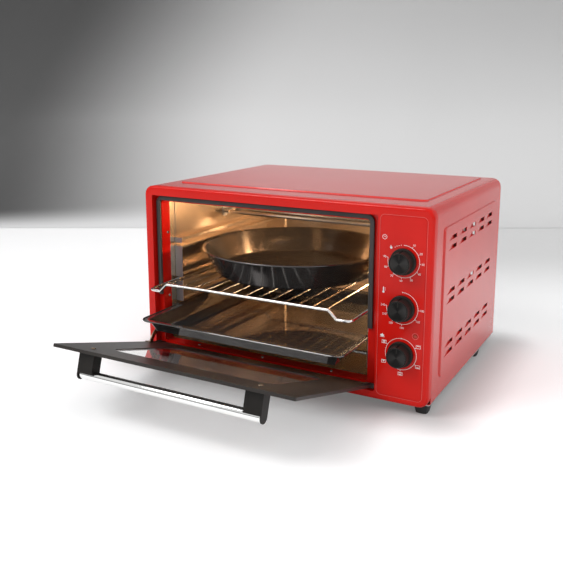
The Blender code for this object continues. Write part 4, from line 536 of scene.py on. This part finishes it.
def smoothing(name, angle_limit):
    """A node group that welds a mesh and shades it smooth across shallow edges."""
    tree = bpy.data.node_groups.new(name, "GeometryNodeTree")
    for way in ("INPUT", "OUTPUT"):
        tree.interface.new_socket("Geometry", in_out=way, socket_type="NodeSocketGeometry")
    made = Nodes(tree)
    start = made.node("NodeGroupInput")
    drop = made.node("GeometryNodeRemoveAttribute", Name="custom_normal")
    weld = made.node("GeometryNodeMergeByDistance", Distance=WELD)
    faces = made.node("GeometryNodeSetShadeSmooth")
    edges = made.node("GeometryNodeSetShadeSmooth", domain="EDGE", Shade_Smooth=False)
    end = made.node("NodeGroupOutput")
    chain = [start, drop, weld, faces, edges, end]
    for first, second in zip(chain, chain[1:]):
        made.link(first.outputs["Geometry"], second.inputs["Geometry"])
    angle = made.node("GeometryNodeInputMeshEdgeAngle")
    steep = made.node("FunctionNodeCompare", operation="GREATER_THAN", B=angle_limit)
    made.link(angle.outputs["Unsigned Angle"], steep.inputs["A"])
    made.link(steep.outputs["Result"], edges.inputs["Selection"])
    return tree


def dress_nodes():
    """Finishes and smooth shading for every node of the frame, and soft edges on some."""
    usual = smoothing("smooth_faces", SMOOTH_ANGLE)
    pressed = smoothing("smooth_pressing", PRESSING_ANGLE)
    for subpart in frame["record"]["subparts"]:
        name = subpart["node"]
        node = nodes[name]
        modifier = node.modifiers.new("smooth_faces", "NODES")
        modifier.node_group = pressed if name in PRESSINGS else usual
        if name in SOFT_EDGES:
            edge = node.modifiers.new("soft_edges", "BEVEL")
            edge.width = SOFT_EDGES[name]
            edge.segments = 2
            edge.limit_method = "ANGLE"
            edge.angle_limit = SOFT_EDGE_ANGLE
            edge.harden_normals = False
        weigh = node.modifiers.new("flat_faces", "WEIGHTED_NORMAL")
        weigh.keep_sharp = True
        finish = FINISHES[NODE_FINISHES.get(name, subpart["material_slot"])]
        for place in node.material_slots:
            place.material = finish


# Mesh building

def filleted(corners, radii, steps=8, closed=True):
    """A path through corners whose bends are arcs."""
    path = []
    count = len(corners)
    for i, corner in enumerate(corners):
        here = Vector(corner)
        if not closed and i in (0, count - 1):
            path.append(here)
            continue
        before = Vector(corners[i - 1]) - here
        after = Vector(corners[(i + 1) % count]) - here
        turn = math.pi - before.angle(after)
        radius = radii[i]
        reach = radius * math.tan(turn / 2)
        before.normalize()
        after.normalize()
        centre = here + (before + after).normalized() * radius / math.cos(turn / 2)
        first = (here + before * reach - centre).normalized()
        last = (here + after * reach - centre).normalized()
        path += [centre + first.slerp(last, k / steps) * radius for k in range(steps + 1)]
    return path


def skin(bm, rings, loop=False):
    """Faces between rings of equal counts; the ends are capped where the rings make no loop."""
    made = [[bm.verts.new(point) for point in ring] for ring in rings]
    pairs = list(zip(made, made[1:]))
    if loop:
        pairs.append((made[-1], made[0]))
    else:
        bm.faces.new(made[0][::-1])
        bm.faces.new(made[-1])
    for first, second in pairs:
        for i in range(len(first)):
            j = (i + 1) % len(first)
            bm.faces.new((first[i], first[j], second[j], second[i]))


def pipe(bm, path, radius, sides, loop=False):
    """A round bar along a path that never runs straight up."""
    count = len(path)
    rings = []
    for i, here in enumerate(path):
        before = path[i - 1] if loop or i else here
        after = path[(i + 1) % count] if loop or i < count - 1 else here
        along = (after - before).normalized()
        side = along.cross(Vector((0, 0, 1))).normalized()
        top = side.cross(along)
        rings.append([
            here + (side * math.cos(turn) + top * math.sin(turn)) * radius
            for turn in (2 * math.pi * k / sides for k in range(sides))
        ])
    skin(bm, rings, loop)


def turned(bm, profile, sides, place=Matrix(), swell=None):
    """A body of revolution round its own Z; swell gives a radius change for a point and a turn."""
    rings = []
    for i, (radius, height) in enumerate(profile):
        ring = []
        for k in range(sides):
            turn = 2 * math.pi * k / sides
            reach = radius + (swell(i, turn) if swell else 0)
            ring.append(place @ Vector((reach * math.cos(turn), reach * math.sin(turn), height)))
        rings.append(ring)
    skin(bm, rings)


def arc(centre, radius, first, last, steps):
    """Profile points on an arc, angles in degrees."""
    turns = [math.radians(first + (last - first) * k / steps) for k in range(steps + 1)]
    return [(centre[0] + radius * math.cos(turn), centre[1] + radius * math.sin(turn))
            for turn in turns]


def rounded_ring(low, high, radius, height, steps=10):
    """A level rectangle with round corners."""
    corners = [(low[0], low[1], height), (high[0], low[1], height),
               (high[0], high[1], height), (low[0], high[1], height)]
    return filleted(corners, [radius] * 4, steps)


def shown(bm, name, body, finishes, replaced=(), angle=SMOOTH_ANGLE):
    """Turns a bmesh into a piece that rides on a body."""
    bmesh.ops.recalc_face_normals(bm, faces=bm.faces)
    for face in bm.faces:
        face.smooth = True
    for edge in bm.edges:
        if len(edge.link_faces) == 2 and edge.calc_face_angle() > angle:
            edge.smooth = False
    mesh = bpy.data.meshes.new(name)
    bm.to_mesh(mesh)
    bm.free()
    for finish in finishes:
        mesh.materials.append(FINISHES[finish])
    made = bpy.data.objects.new(name, mesh)
    bpy.context.scene.collection.objects.link(made)
    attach(made, body)
    if replaced:
        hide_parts(*replaced)


# Finer forms in place of faceted nodes

def round_pan():
    """A deep round pan with a rolled rim and a stand ring pressed into its base."""
    low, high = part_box("round_pan")
    centre = (low + high) / 2
    rim = (high.x - low.x) / 2
    height = high.z - low.z
    base = rim - PAN_WALL_SLOPE
    bead, bend, sheet = PAN_BEAD, PAN_BEND, PAN_SHEET
    profile = [(PAN_POLE, sheet / 2), (base - 3 * bend, sheet / 2)]
    profile += arc((base - 2 * bend, sheet), sheet, 225, 270, 3)
    profile += arc((base - bend, bend), bend, 270, 338, 7)
    profile += arc((rim - bead, height - bead), bead, -110, 150, 12)
    profile += [(rim - 2 * bead - sheet, height - bead)]
    profile += arc((base - bend, bend), bend - sheet, 338, 270, 7)
    profile += [(PAN_POLE, sheet * 1.5)]
    bm = bmesh.new()
    turned(bm, profile, PAN_SIDES, Matrix.Translation((centre.x, centre.y, low.z)))
    shown(bm, "pan_shell", "pan", ["pan_enamel"], ["round_pan"])


def wire_rack():
    """A bent rail with steps near both ends, and thin wires welded between its bars."""
    low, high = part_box("wire_rack")
    rail = RACK_RAIL_RADIUS
    left, right = low.x + rail, high.x - rail
    front, back = low.y + rail, high.y - rail
    level, grid = low.z + rail, high.z - rail
    start, end = RACK_STEP_START, RACK_STEP_START + RACK_STEP_RUN
    across = [(left, level), (left + start, level), (left + end, grid),
              (right - end, grid), (right - start, level), (right, level)]
    corners = [(x, front, z) for x, z in across] + [(x, back, z) for x, z in across[::-1]]
    bend = RACK_STEP_RADIUS
    radii = [RACK_CORNER_RADIUS, bend, bend, bend, bend, RACK_CORNER_RADIUS] * 2
    bm = bmesh.new()
    pipe(bm, filleted(corners, radii), rail, RACK_RAIL_SIDES, loop=True)
    first = left + end + bend
    pitch = (right - left - 2 * (end + bend)) / (RACK_WIRES - 1)
    for i in range(RACK_WIRES):
        x = first + i * pitch
        pipe(bm, [Vector((x, front, grid)), Vector((x, back, grid))], RACK_WIRE_RADIUS,
             RACK_WIRE_SIDES)
    shown(bm, "rack_wires", "rack", ["chrome"], ["wire_rack"], angle=RACK_SHARP_ANGLE)


def baking_tray():
    """A drawn tray with sloped walls, round corners and a rolled rim."""
    low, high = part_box("baking_tray")
    sheet, bend, bead = TRAY_SHEET, TRAY_BEND, TRAY_BEAD
    top = high.z - bead
    wall = TRAY_RIM_WIDTH
    foot = wall + TRAY_WALL_SLOPE
    base = [(2 * bend, 0), (bend, 0), (bend * HALFWAY, bend * HALFWAY), (0, bend)]
    turns = [math.radians(TRAY_BEAD_FROM - TRAY_BEAD_SWEEP * k / TRAY_BEAD_STEPS)
             for k in range(TRAY_BEAD_STEPS + 1)]
    rows = [(foot + inwards, low.z + up) for inwards, up in base]
    rows += [(wall + inwards, top - sheet + up) for inwards, up in TRAY_OUTER_NECK]
    rows += [(bead + bead * math.cos(turn),
              top - sheet / 2 + TRAY_BEAD_RISE + (bead + sheet / 4) * math.sin(turn))
             for turn in turns]
    rows += [(3 * bead, top)]
    rows += [(wall + inwards, top + up) for inwards, up in TRAY_INNER_NECK]
    rows += [(foot + sheet + inwards, low.z + sheet + up) for inwards, up in reversed(base)]

    def ring(inset, height):
        radius = max(TRAY_RIM_RADIUS - inset, bend)
        return rounded_ring((low.x + inset, low.y + inset), (high.x - inset, high.y - inset),
                            radius, height)

    bm = bmesh.new()
    skin(bm, [ring(max(inset, 0), min(height, high.z)) for inset, height in rows])
    shown(bm, "tray_shell", "tray", ["black_enamel"], ["baking_tray"])


def gasket():
    """A soft strip with a rounded section up both sides of the mouth and across its top."""
    low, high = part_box("door_gasket")
    wide, deep = GASKET_WIDTH / 2, (high.y - low.y) / 2
    left, right = low.x + GASKET_INSET + wide, high.x - GASKET_INSET - wide
    corners = [(left, 0, low.z), (left, 0, high.z - wide),
               (right, 0, high.z - wide), (right, 0, low.z)]
    path = filleted(corners, [GASKET_BEND] * 4, 8, closed=False)

    def squared(share):
        return math.copysign(abs(share) ** GASKET_SQUARE, share)

    rings = []
    for i, here in enumerate(path):
        along = (path[min(i + 1, len(path) - 1)] - path[max(i - 1, 0)]).normalized()
        side = along.cross(Vector((0, 1, 0)))
        rings.append([
            here + side * wide * squared(math.cos(turn))
            + Vector((0, (low.y + high.y) / 2 + deep * squared(math.sin(turn)), 0))
            for turn in (2 * math.pi * k / GASKET_SIDES for k in range(GASKET_SIDES))
        ])
    bm = bmesh.new()
    skin(bm, rings)
    shown(bm, "gasket_strip", "casing", ["silicone"], ["door_gasket"])


def handle_brackets():
    """The frame's brackets with thin end caps, so that the rod nearly reaches their outer faces."""
    for side, inwards in (("left", 1), ("right", -1)):
        name = side + "_handle_bracket"
        low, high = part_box(name)
        end = low.x if inwards > 0 else high.x
        mesh = nodes[name].data
        bm = bmesh.new()
        points = [bm.verts.new(vertex.co) for vertex in mesh.vertices]
        for polygon in mesh.polygons:
            bm.faces.new([points[i] for i in polygon.vertices])
        bmesh.ops.remove_doubles(bm, verts=bm.verts, dist=WELD)
        for vertex in bm.verts:
            if abs(vertex.co.x - end - inwards * CAP_SOLID) < CAP_SLACK:
                vertex.co.x = end + inwards * CAP_THIN
        bmesh.ops.dissolve_limit(bm, angle_limit=FLAT_ANGLE, verts=bm.verts, edges=bm.edges)
        sharp = [edge for edge in bm.edges
                 if len(edge.link_faces) == 2 and edge.calc_face_angle() > SOFT_EDGE_ANGLE]
        bmesh.ops.bevel(bm, geom=sharp, offset=CAP_BEVEL, segments=2, affect="EDGES",
                        clamp_overlap=True)
        shown(bm, side + "_bracket", "door", ["black_plastic"], [name])


def handle_rod():
    """The polished rod between the end caps of the handle's brackets."""
    low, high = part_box("handle_rod")
    centre = (low + high) / 2
    reach = CAP_SOLID - CAP_THIN
    length = high.x - low.x + 2 * reach
    radius, bevel = ROD_RADIUS, ROD_BEVEL
    end = [(radius * ROD_POLE, 0), (radius - bevel, 0),
           (radius - bevel * HALFWAY, bevel * HALFWAY), (radius, bevel)]
    profile = end + [(out, length - along) for out, along in reversed(end)]
    stand = (Matrix.Translation((low.x - reach, centre.y, centre.z))
             @ Matrix.Rotation(math.pi / 2, 4, "Y"))
    bm = bmesh.new()
    turned(bm, profile, ROD_SIDES, stand)
    shown(bm, "handle_tube", "door", ["polished"], ["handle_rod"])


def knob(name):
    """A ribbed knob with a notch that points, a spun metal face and a pointer on it."""
    low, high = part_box(name + "_knob")
    axis = DIALS[name]
    skirt = (high.x - low.x) / 2
    depth = high.y - low.y
    face, edge = KNOB_FACE_RADIUS, KNOB_EDGE
    foot, lip = KNOB_FOOT_EDGE, KNOB_SKIRT_EDGE
    # The piece's own Z points out of the panel and its X points up
    place = Matrix(((0, 1, 0, axis.x), (0, 0, -1, high.y), (1, 0, 0, axis.z), (0, 0, 0, 1)))
    profile = [(face * KNOB_POLE, foot / 2), (skirt - foot, 0), (skirt, foot),
               (skirt, KNOB_SKIRT - lip)]
    profile += arc((skirt - lip, KNOB_SKIRT - lip), lip, 0, 90, 3)[1:]
    first_rib = len(profile)
    profile += [(face + out, KNOB_SKIRT + up) for out, up in KNOB_WAIST] + [(face, depth - edge)]
    last_rib = len(profile) - 1
    profile += arc((face - edge, depth - edge), edge, 0, 90, 5)[1:]
    profile += [(face - edge - inwards, depth - down) for inwards, down in KNOB_RIM]
    profile += [(face * KNOB_POLE, profile[-1][1])]

    def swell(i, turn):
        if not first_rib <= i <= last_rib:
            return 0
        away = abs((turn + math.pi) % (2 * math.pi) - math.pi)
        notch = -KNOB_NOTCH * max(0, 1 - (away / KNOB_NOTCH_ANGLE) ** 4)
        return notch if notch else -KNOB_RIB * (0.5 - 0.5 * math.cos(turn * KNOB_RIBS))

    body = name + "_dial"
    bm = bmesh.new()
    turned(bm, profile, KNOB_RIBS * KNOB_RIB_SIDES, place, swell)
    shown(bm, name + "_knob_grip", body, ["black_plastic"], [name + "_knob"])

    disc = face - edge - DISC_GAP
    bm = bmesh.new()
    turned(bm, [(disc * share, depth - down) for share, down in DISC_PROFILE], DISC_SIDES, place)
    shown(bm, name + "_knob_face", body, ["spun_face"])

    half, inner, outer = POINTER_HALF, POINTER_INNER, disc + POINTER_PAST_DISC
    corners = [(outer, -half), (outer, half), (inner + half, half), (inner, 0),
               (inner + half, -half)]
    bm = bmesh.new()
    skin(bm, [[place @ Vector((x, y, depth - down)) for x, y in corners]
              for down in POINTER_LEVELS])
    shown(bm, name + "_knob_pointer", body, ["black_plastic"])


# Prints on the control panel

def flat(bm, points):
    """A flat print on the panel, its points in the panel's own X and Z."""
    bm.faces.new([bm.verts.new((x, FACE_Y - SKIN_GAP, z)) for x, z in points])


def on_dial(centre, radius, angle):
    """X and Z of a place round a dial, its angle clockwise from the top in degrees."""
    turn = math.radians(angle)
    return centre.x + radius * math.sin(turn), centre.z + radius * math.cos(turn)


def stroke(bm, centre, radius, first, last, steps=64):
    """A line along an arc on the panel."""
    inner, outer = radius - PRINT_LINE / 2, radius + PRINT_LINE / 2
    angles = [first + (last - first) * k / steps for k in range(steps + 1)]
    for here, there in zip(angles, angles[1:]):
        flat(bm, [on_dial(centre, inner, here), on_dial(centre, inner, there),
                  on_dial(centre, outer, there), on_dial(centre, outer, here)])


def dash(bm, x, z, width, height, angle=0.0):
    """A small bar, turned clockwise by an angle in degrees."""
    c, s = math.cos(math.radians(angle)), math.sin(math.radians(angle))
    flat(bm, [(x + a * width * c + b * height * s, z - a * width * s + b * height * c)
              for a, b in ((-0.5, -0.5), (0.5, -0.5), (0.5, 0.5), (-0.5, 0.5))])


def spot(bm, x, z, radius, squash=1.0, sides=24):
    """A filled round or oval mark."""
    turns = [2 * math.pi * k / sides for k in range(sides)]
    flat(bm, [(x + radius * math.cos(turn), z + squash * radius * math.sin(turn))
              for turn in turns])


def digits(bm, text, x, z):
    """Plain numbers centred on a place."""
    curve = bpy.data.curves.new("digits", "FONT")
    curve.body = text
    curve.size = DIGIT_SIZE
    curve.align_x = "CENTER"
    curve.align_y = "CENTER"
    holder = bpy.data.objects.new("digits", curve)
    mesh = bpy.data.meshes.new_from_object(holder)
    old = set(bm.verts)
    bm.from_mesh(mesh)
    for vertex in bm.verts:
        if vertex not in old:
            vertex.co = Vector((x + vertex.co.x, FACE_Y - SKIN_GAP, z + vertex.co.y))
    bpy.data.objects.remove(holder)
    bpy.data.curves.remove(curve)
    bpy.data.meshes.remove(mesh)


def tick(bm, centre, angle):
    """A short line across a dial's ring."""
    dash(bm, *on_dial(centre, DIAL_RING + TICK_OUT, angle), *TICK, angle)


def numbered(bm, centre, marks, out):
    """Ticks and numbers round a dial."""
    for angle, text in marks:
        tick(bm, centre, angle)
        digits(bm, text, *on_dial(centre, DIAL_RING + out, angle))


def function_sign(bm, x, z, bars, fan):
    """An oven outline, with a bar where heat comes from, and a spot for the fan."""
    wide, tall = OVEN_SIGN
    for side in (-1, 1):
        dash(bm, x + side * wide / 2, z, PRINT_LINE, tall + PRINT_LINE)
        dash(bm, x, z + side * tall / 2, wide, PRINT_LINE)
    for share in bars:
        dash(bm, x, z + share * tall, wide * HEAT_BAR[0], HEAT_BAR[1])
    if fan:
        spot(bm, x, z, PRINT_DOT)


def dial_prints(bm):
    """Rings, marks and numbers of the three dials."""
    timer, heat, choice = DIALS["timer"], DIALS["temperature"], DIALS["function"]
    stroke(bm, timer, DIAL_RING, 0, TIMER_END)
    for angle in STAY_ON_ANGLES:
        dash(bm, *on_dial(timer, DIAL_RING, angle), *STAY_ON_BAR, angle)
    x, z = on_dial(timer, DIAL_RING + STAY_ON_SIGN[0], STAY_ON_SIGN[1])
    spot(bm, x, z, STAY_ON_SPOT)
    dash(bm, x + STAY_ON_STEM[0], z + STAY_ON_STEM[1], *STAY_ON_STEM_BAR)
    numbered(bm, timer, TIMER_MARKS, TIMER_DIGITS_OUT)
    stroke(bm, heat, DIAL_RING, 0, HEAT_MARKS[-1][0])
    spot(bm, *on_dial(heat, DIAL_RING, 0), PRINT_DOT)
    numbered(bm, heat, HEAT_MARKS, HEAT_DIGITS_OUT)
    stroke(bm, choice, DIAL_RING, 0, 360, steps=96)
    spot(bm, *on_dial(choice, DIAL_RING, 0), PRINT_DOT)
    for angle, bars, fan in FUNCTION_SIGNS:
        tick(bm, choice, angle)
        function_sign(bm, *on_dial(choice, DIAL_RING + FUNCTION_SIGNS_OUT, angle), bars, fan)


def side_signs(bm):
    """A clock, a thermometer and a covered dish beside their dials."""
    places = [DIALS[name] + Vector((SIGN_LEFT, 0, rise))
              for name, rise in (("timer", CLOCK_RISE), ("temperature", BULB_RISE),
                                 ("function", DISH_RISE))]
    clock, bulb, dish = places
    stroke(bm, clock, CLOCK_RADIUS, 0, 360, steps=32)
    spot(bm, bulb.x, bulb.z - BULB_DROP, BULB_RADIUS)
    spot(bm, dish.x, dish.z, DISH_RADIUS, DISH_SQUASH)
    for place, bars in zip(places, (CLOCK_BARS, BULB_BARS, DISH_BARS)):
        for x, z, width, height in bars:
            dash(bm, place.x + x, place.z + z, width, height)


def panel_prints():
    """The dials' prints and signs, and the ring round the indicator lamp."""
    bm = bmesh.new()
    dial_prints(bm)
    side_signs(bm)
    shown(bm, "panel_prints", "casing", ["white_print"])
    low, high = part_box("indicator_lens")
    bm = bmesh.new()
    stroke(bm, (low + high) / 2, LAMP_RING, 0, 360, steps=40)
    shown(bm, "lamp_ring_print", "casing", ["rose_print"])


def outline_print():
    """The fine pale line along the pressed outline of the control field."""
    left, right, bottom, top = CONTROL_FIELD
    line = FIELD_LINE
    low = (panel_high.x - left, panel_low.z + bottom)
    high = (panel_high.x - right, panel_high.z - top)
    inner = rounded_ring(low, high, FIELD_RADIUS, 0, 8)
    outer = rounded_ring((low[0] - line, low[1] - line), (high[0] + line, high[1] + line),
                         FIELD_RADIUS + line, 0, 8)
    bm = bmesh.new()
    for i in range(len(inner)):
        j = (i + 1) % len(inner)
        flat(bm, [(point.x, point.y) for point in (inner[i], inner[j], outer[j], outer[i])])
    shown(bm, "outline_print", "casing", ["rose_print"])


# Small screws and the runners' flanges

def screw(name, place, normal, radius, body, finish="chrome"):
    """A low round head with a cross drawn as a dark sheet on it: painted shade of the cross recess.
    """
    normal = Vector(normal).normalized()
    turn = normal.to_track_quat("Z", "Y").to_matrix().to_4x4()
    stand = Matrix.Translation(Vector(place) + normal * SCREW_LIFT) @ turn
    rise = radius * SCREW_RISE
    bm = bmesh.new()
    turned(bm, [(radius * out, rise * up) for out, up in SCREW_HEAD], SCREW_SIDES, stand)
    for across, along in SCREW_CROSS:
        wide, tall = radius * across, radius * along
        corners = [stand @ Vector((a * wide / 2, b * tall / 2, rise * SCREW_CROSS_RISE))
                   for a, b in ((-1, -1), (1, -1), (1, 1), (-1, 1))]
        bm.faces.new([bm.verts.new(corner) for corner in corners]).material_index = 1
    shown(bm, name, body, [finish, "cross_painted_shade"])


def screws():
    """Fixings where such an oven has them: the door's inner face, the mouth's lip and the back."""
    open_door = Matrix.Translation(HINGE) @ Matrix.Rotation(DOOR_OPEN, 4, "X")
    out = open_door.to_3x3() @ Vector((0, 1, 0))
    door_low, door_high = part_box("door_frame")
    length = (door_high.y - door_low.y) / math.sin(DOOR_OPEN)
    # Door screws in the darkened steel: painted shade.
    for side, x in DOOR_SCREWS:
        place = open_door @ Vector((x, DOOR_HALF, length - DOOR_SCREW_EDGE))
        screw(side + "_door_screw", place, out, DOOR_SCREW_RADIUS, "door", "steel_painted_shade")
    left, right, low = MOUTH_EDGES
    for i, (x, y) in enumerate(LOWER_LIP_SCREWS):
        screw("lower_lip_screw_%d" % i, (x, y, low), (0, 0, 1), LIP_SCREW_RADIUS, "casing")
    for side, x, way in (("left", left, 1), ("right", right, -1)):
        for i, (y, z) in enumerate(SIDE_LIP_SCREWS):
            screw("%s_lip_screw_%d" % (side, i), (x, y, z), (way, 0, 0), LIP_SCREW_RADIUS, "casing")
    rear_low, rear_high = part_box("rear_panel")
    inset = REAR_SCREW_INSET
    sides = (rear_low.x + inset, rear_high.x - inset)
    places = [(x, z) for x in (sides[0], 0, sides[1])
              for z in (rear_low.z + inset, rear_high.z - inset)]
    places += [(x, (rear_low.z + rear_high.z) / 2) for x in sides]
    for i, (x, z) in enumerate(places):
        screw("rear_panel_screw_%d" % i, (x, rear_high.y, z), (0, 1, 0), REAR_SCREW_RADIUS,
              "casing")


def runner_flanges():
    """The bent front ends of the side runners, open where a shelf slides."""
    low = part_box("left_side_runner")[0]
    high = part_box("right_side_runner")[1]
    levels = (low.y - 2 * FLANGE_SHEET, low.y - FLANGE_SHEET)
    for side, wall, way in (("left", low.x, 1), ("right", high.x, -1)):
        near, far = sorted((wall, wall + way * FLANGE_REACH))
        bm = bmesh.new()
        for foot, top in FLANGES:
            ring = rounded_ring((near, foot), (far, top), FLANGE_CORNER, 0, 5)
            skin(bm, [[Vector((point.x, y, point.y)) for point in ring] for y in levels])
        shown(bm, side + "_runner_flange", "casing", ["flange_steel"])


# Floor, backdrop, light and camera

def paper(name, colours, glow):
    """Pale paper that takes shadows, and adds a share of its own tone wherever it is seen."""
    made = Finish(name, Specular_IOR_Level=PAPER_SPECULAR)
    tone = colours(made)
    made.colour(tone)
    made.rough(made.ranged(made.noise(PAPER_GRAIN, 3.0), *PAPER_ROUGH))
    rays = made.node("ShaderNodeLightPath").outputs
    seen = made.maths("MAXIMUM", rays["Is Camera Ray"], rays["Is Glossy Ray"])
    seen = made.maths("MAXIMUM", seen, rays["Is Transmission Ray"])
    light = made.node("ShaderNodeEmission")
    made.link(tone, light.inputs["Color"])
    made.link(made.maths("MULTIPLY", seen, glow), light.inputs["Strength"])
    total = made.node("ShaderNodeAddShader")
    made.link(made.shader.outputs[0], total.inputs[0])
    made.link(light.outputs[0], total.inputs[1])
    made.link(total.outputs[0], made.tree.nodes["Material Output"].inputs["Surface"])
    return made.material


def floor_tone(made):
    """White in front and to the left, with painted shade that greys it behind to the right, and a
    painted contact shadow close to the casing.
    """
    x, y = made.axes("Object")[:2]

    def beyond(place, low, high):
        off = made.maths("ABSOLUTE", made.maths("SUBTRACT", place, (low + high) / 2))
        return made.maths("MAXIMUM", made.maths("SUBTRACT", off, (high - low) / 2), 0.0)

    def along(direction):
        return made.maths("ADD", made.maths("MULTIPLY", x, direction[0]),
                          made.maths("MULTIPLY", y, direction[1]))

    # Painted contact shadow: the tone darkens within a short reach of the casing's footprint.
    low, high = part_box("outer_casing")
    gaps = [beyond(x, low.x, high.x), beyond(y, low.y, high.y)]
    squares = [made.maths("MULTIPLY", gap, gap) for gap in gaps]
    near = made.maths("SQRT", made.maths("ADD", *squares))
    # Painted shade: greyer behind to the right, past the edge of the light.
    share = made.maths("MULTIPLY", made.ramp(along(TO_BACKDROP), *TO_BACKDROP_SHADE, 0.0, 1.0),
                       made.ramp(along(ALONG_BACKDROP), *ALONG_BACKDROP_SHADE, 0.0, 1.0))
    mottle = made.ranged(made.noise(1.5, 2.0), *FLOOR_MOTTLE)
    open_floor = made.mixed(made.maths("MULTIPLY", share, mottle), FLOOR_WHITE, FLOOR_PAINTED_SHADE)
    return made.mixed(made.ramp(near, 0.0, PAINTED_SHADOW_REACH, 0.0, 1.0), FLOOR_PAINTED_SHADOW, open_floor)


def backdrop_tone(made):
    """Grey with painted shade that darkens it to the left and upwards; its foot is painted light,
    as white as the floor on the left.
    """
    x, y, z = made.axes("Object")
    level, tilt = BACKDROP_TILT
    above = made.maths("MAXIMUM", made.maths("SUBTRACT", z, level), 0.0)
    tilted = made.maths("SUBTRACT", x, made.maths("MULTIPLY", above, tilt))
    # Painted shade: darker to the left and upwards.
    wall = made.maths("MULTIPLY", made.ramp(tilted, *BACKDROP_SHADE_ACROSS), made.ramp(z, *BACKDROP_SHADE_UP))
    wall = made.maths("MULTIPLY", wall, made.ranged(made.noise(1.2, 2.0), *BACKDROP_MOTTLE))
    near = made.maths("SUBTRACT", y, made.maths("MULTIPLY", x, BACKDROP_FOOT_TILT))
    # Painted light: the foot is as white as the lit floor on the left.
    white = made.maths("MULTIPLY", made.ramp(near, *BACKDROP_FOOT), made.ramp(x, *BACKDROP_LEFT))
    return made.mixed(white, made.grey(wall), BACKDROP_PAINTED_LIGHT)


def stage_mesh(name, points, faces, finish):
    mesh = bpy.data.meshes.new(name)
    mesh.from_pydata(points, [], faces)
    mesh.materials.append(finish)
    mesh.shade_smooth()
    made = bpy.data.objects.new(name, mesh)
    bpy.context.scene.collection.objects.link(made)
    return made


def stage():
    """A wide floor, and an upright sheet behind the oven that bends out of it."""
    span = FLOOR_SPAN
    corners = [(-span, -span, 0), (span, -span, 0), (span, span, 0), (-span, span, 0)]
    stage_mesh("floor", corners, [(0, 1, 2, 3)], paper("floor", floor_tone, FLOOR_GLOW))
    bend, steps = BACKDROP_BEND, BACKDROP_BEND_STEPS
    turns = [math.pi / 2 * k / steps for k in range(steps + 1)]
    profile = [(bend * math.sin(turn), bend * (1 - math.cos(turn)) + BACKDROP_LIFT)
               for turn in turns]
    profile.append((bend, BACKDROP_HEIGHT))
    points = [(x, y, z) for y, z in profile for x in (-BACKDROP_HALF, BACKDROP_HALF)]
    faces = [(2 * i, 2 * i + 1, 2 * i + 3, 2 * i + 2) for i in range(len(profile) - 1)]
    screen = stage_mesh("backdrop", points, faces, paper("backdrop", backdrop_tone, BACKDROP_GLOW))
    screen.matrix_world = (Matrix.Translation(BACKDROP_PLACE)
                           @ Matrix.Rotation(BACKDROP_TURN, 4, "Z"))


def sky():
    """White light from all round, weaker at the horizon and below it."""
    scene = bpy.context.scene
    scene.world = scene.world or bpy.data.worlds.new("world")
    scene.world.use_nodes = True
    made = Nodes(scene.world.node_tree)
    light = made.tree.nodes["Background"]
    light.inputs["Color"].default_value = (1, 1, 1, 1)
    made.link(made.ramp(made.axes("Generated")["Z"], *SKY), light.inputs["Strength"])


def area(name, place, target, size, power, colour=(1, 1, 1)):
    data = bpy.data.lights.new(name, "AREA")
    data.shape = "RECTANGLE"
    data.size, data.size_y = size
    data.energy = power
    data.color = colour
    made = bpy.data.objects.new(name, data)
    bpy.context.scene.collection.objects.link(made)
    made.location = place
    made.rotation_euler = (Vector(target) - Vector(place)).to_track_quat("-Z", "Y").to_euler()


def lights():
    """Two soft studio lights, the oven lamp, and the glow that its light leaves over the tray."""
    area("key", *KEY_LIGHT)
    area("side", *SIDE_LIGHT)
    low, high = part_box("lamp_glass")
    centre = (low + high) / 2
    area("oven_lamp", (low.x - INNER_GAP, centre.y, centre.z), LAMP_TARGET, LAMP_SIZE, LAMP_POWER,
         LAMP_COLOUR)
    low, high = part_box("baking_tray")
    centre = (low + high) / 2
    level = high.z + GLOW_RISE
    area("shelf_glow", (high.x - INNER_GAP, high.y, level), (low.x, centre.y, level - GLOW_DROP),
         GLOW_SIZE, GLOW_POWER, GLOW_COLOUR)


def camera():
    data = bpy.data.cameras.new("camera")
    data.sensor_width = SENSOR_MM
    data.lens = FOCAL_PIXELS / IMAGE_PIXELS * SENSOR_MM
    data.shift_y = LENS_SHIFT
    data.clip_end = CLIP_END
    made = bpy.data.objects.new("camera", data)
    bpy.context.scene.collection.objects.link(made)
    made.location = CAMERA_PLACE
    made.rotation_euler = (math.pi / 2 - CAMERA_PITCH, 0, CAMERA_YAW)
    bpy.context.scene.camera = made


bpy.context.scene.view_settings.view_transform = "Standard"
for leftover in [o for o in bpy.data.objects if o.name in ("Cube", "Light", "Camera")]:
    bpy.data.objects.remove(leftover)
dress_nodes()
round_pan()
wire_rack()
baking_tray()
gasket()
handle_brackets()
handle_rod()
for dial in DIALS:
    knob(dial)
panel_prints()
outline_print()
screws()
runner_flanges()
stage()
sky()
lights()
camera()
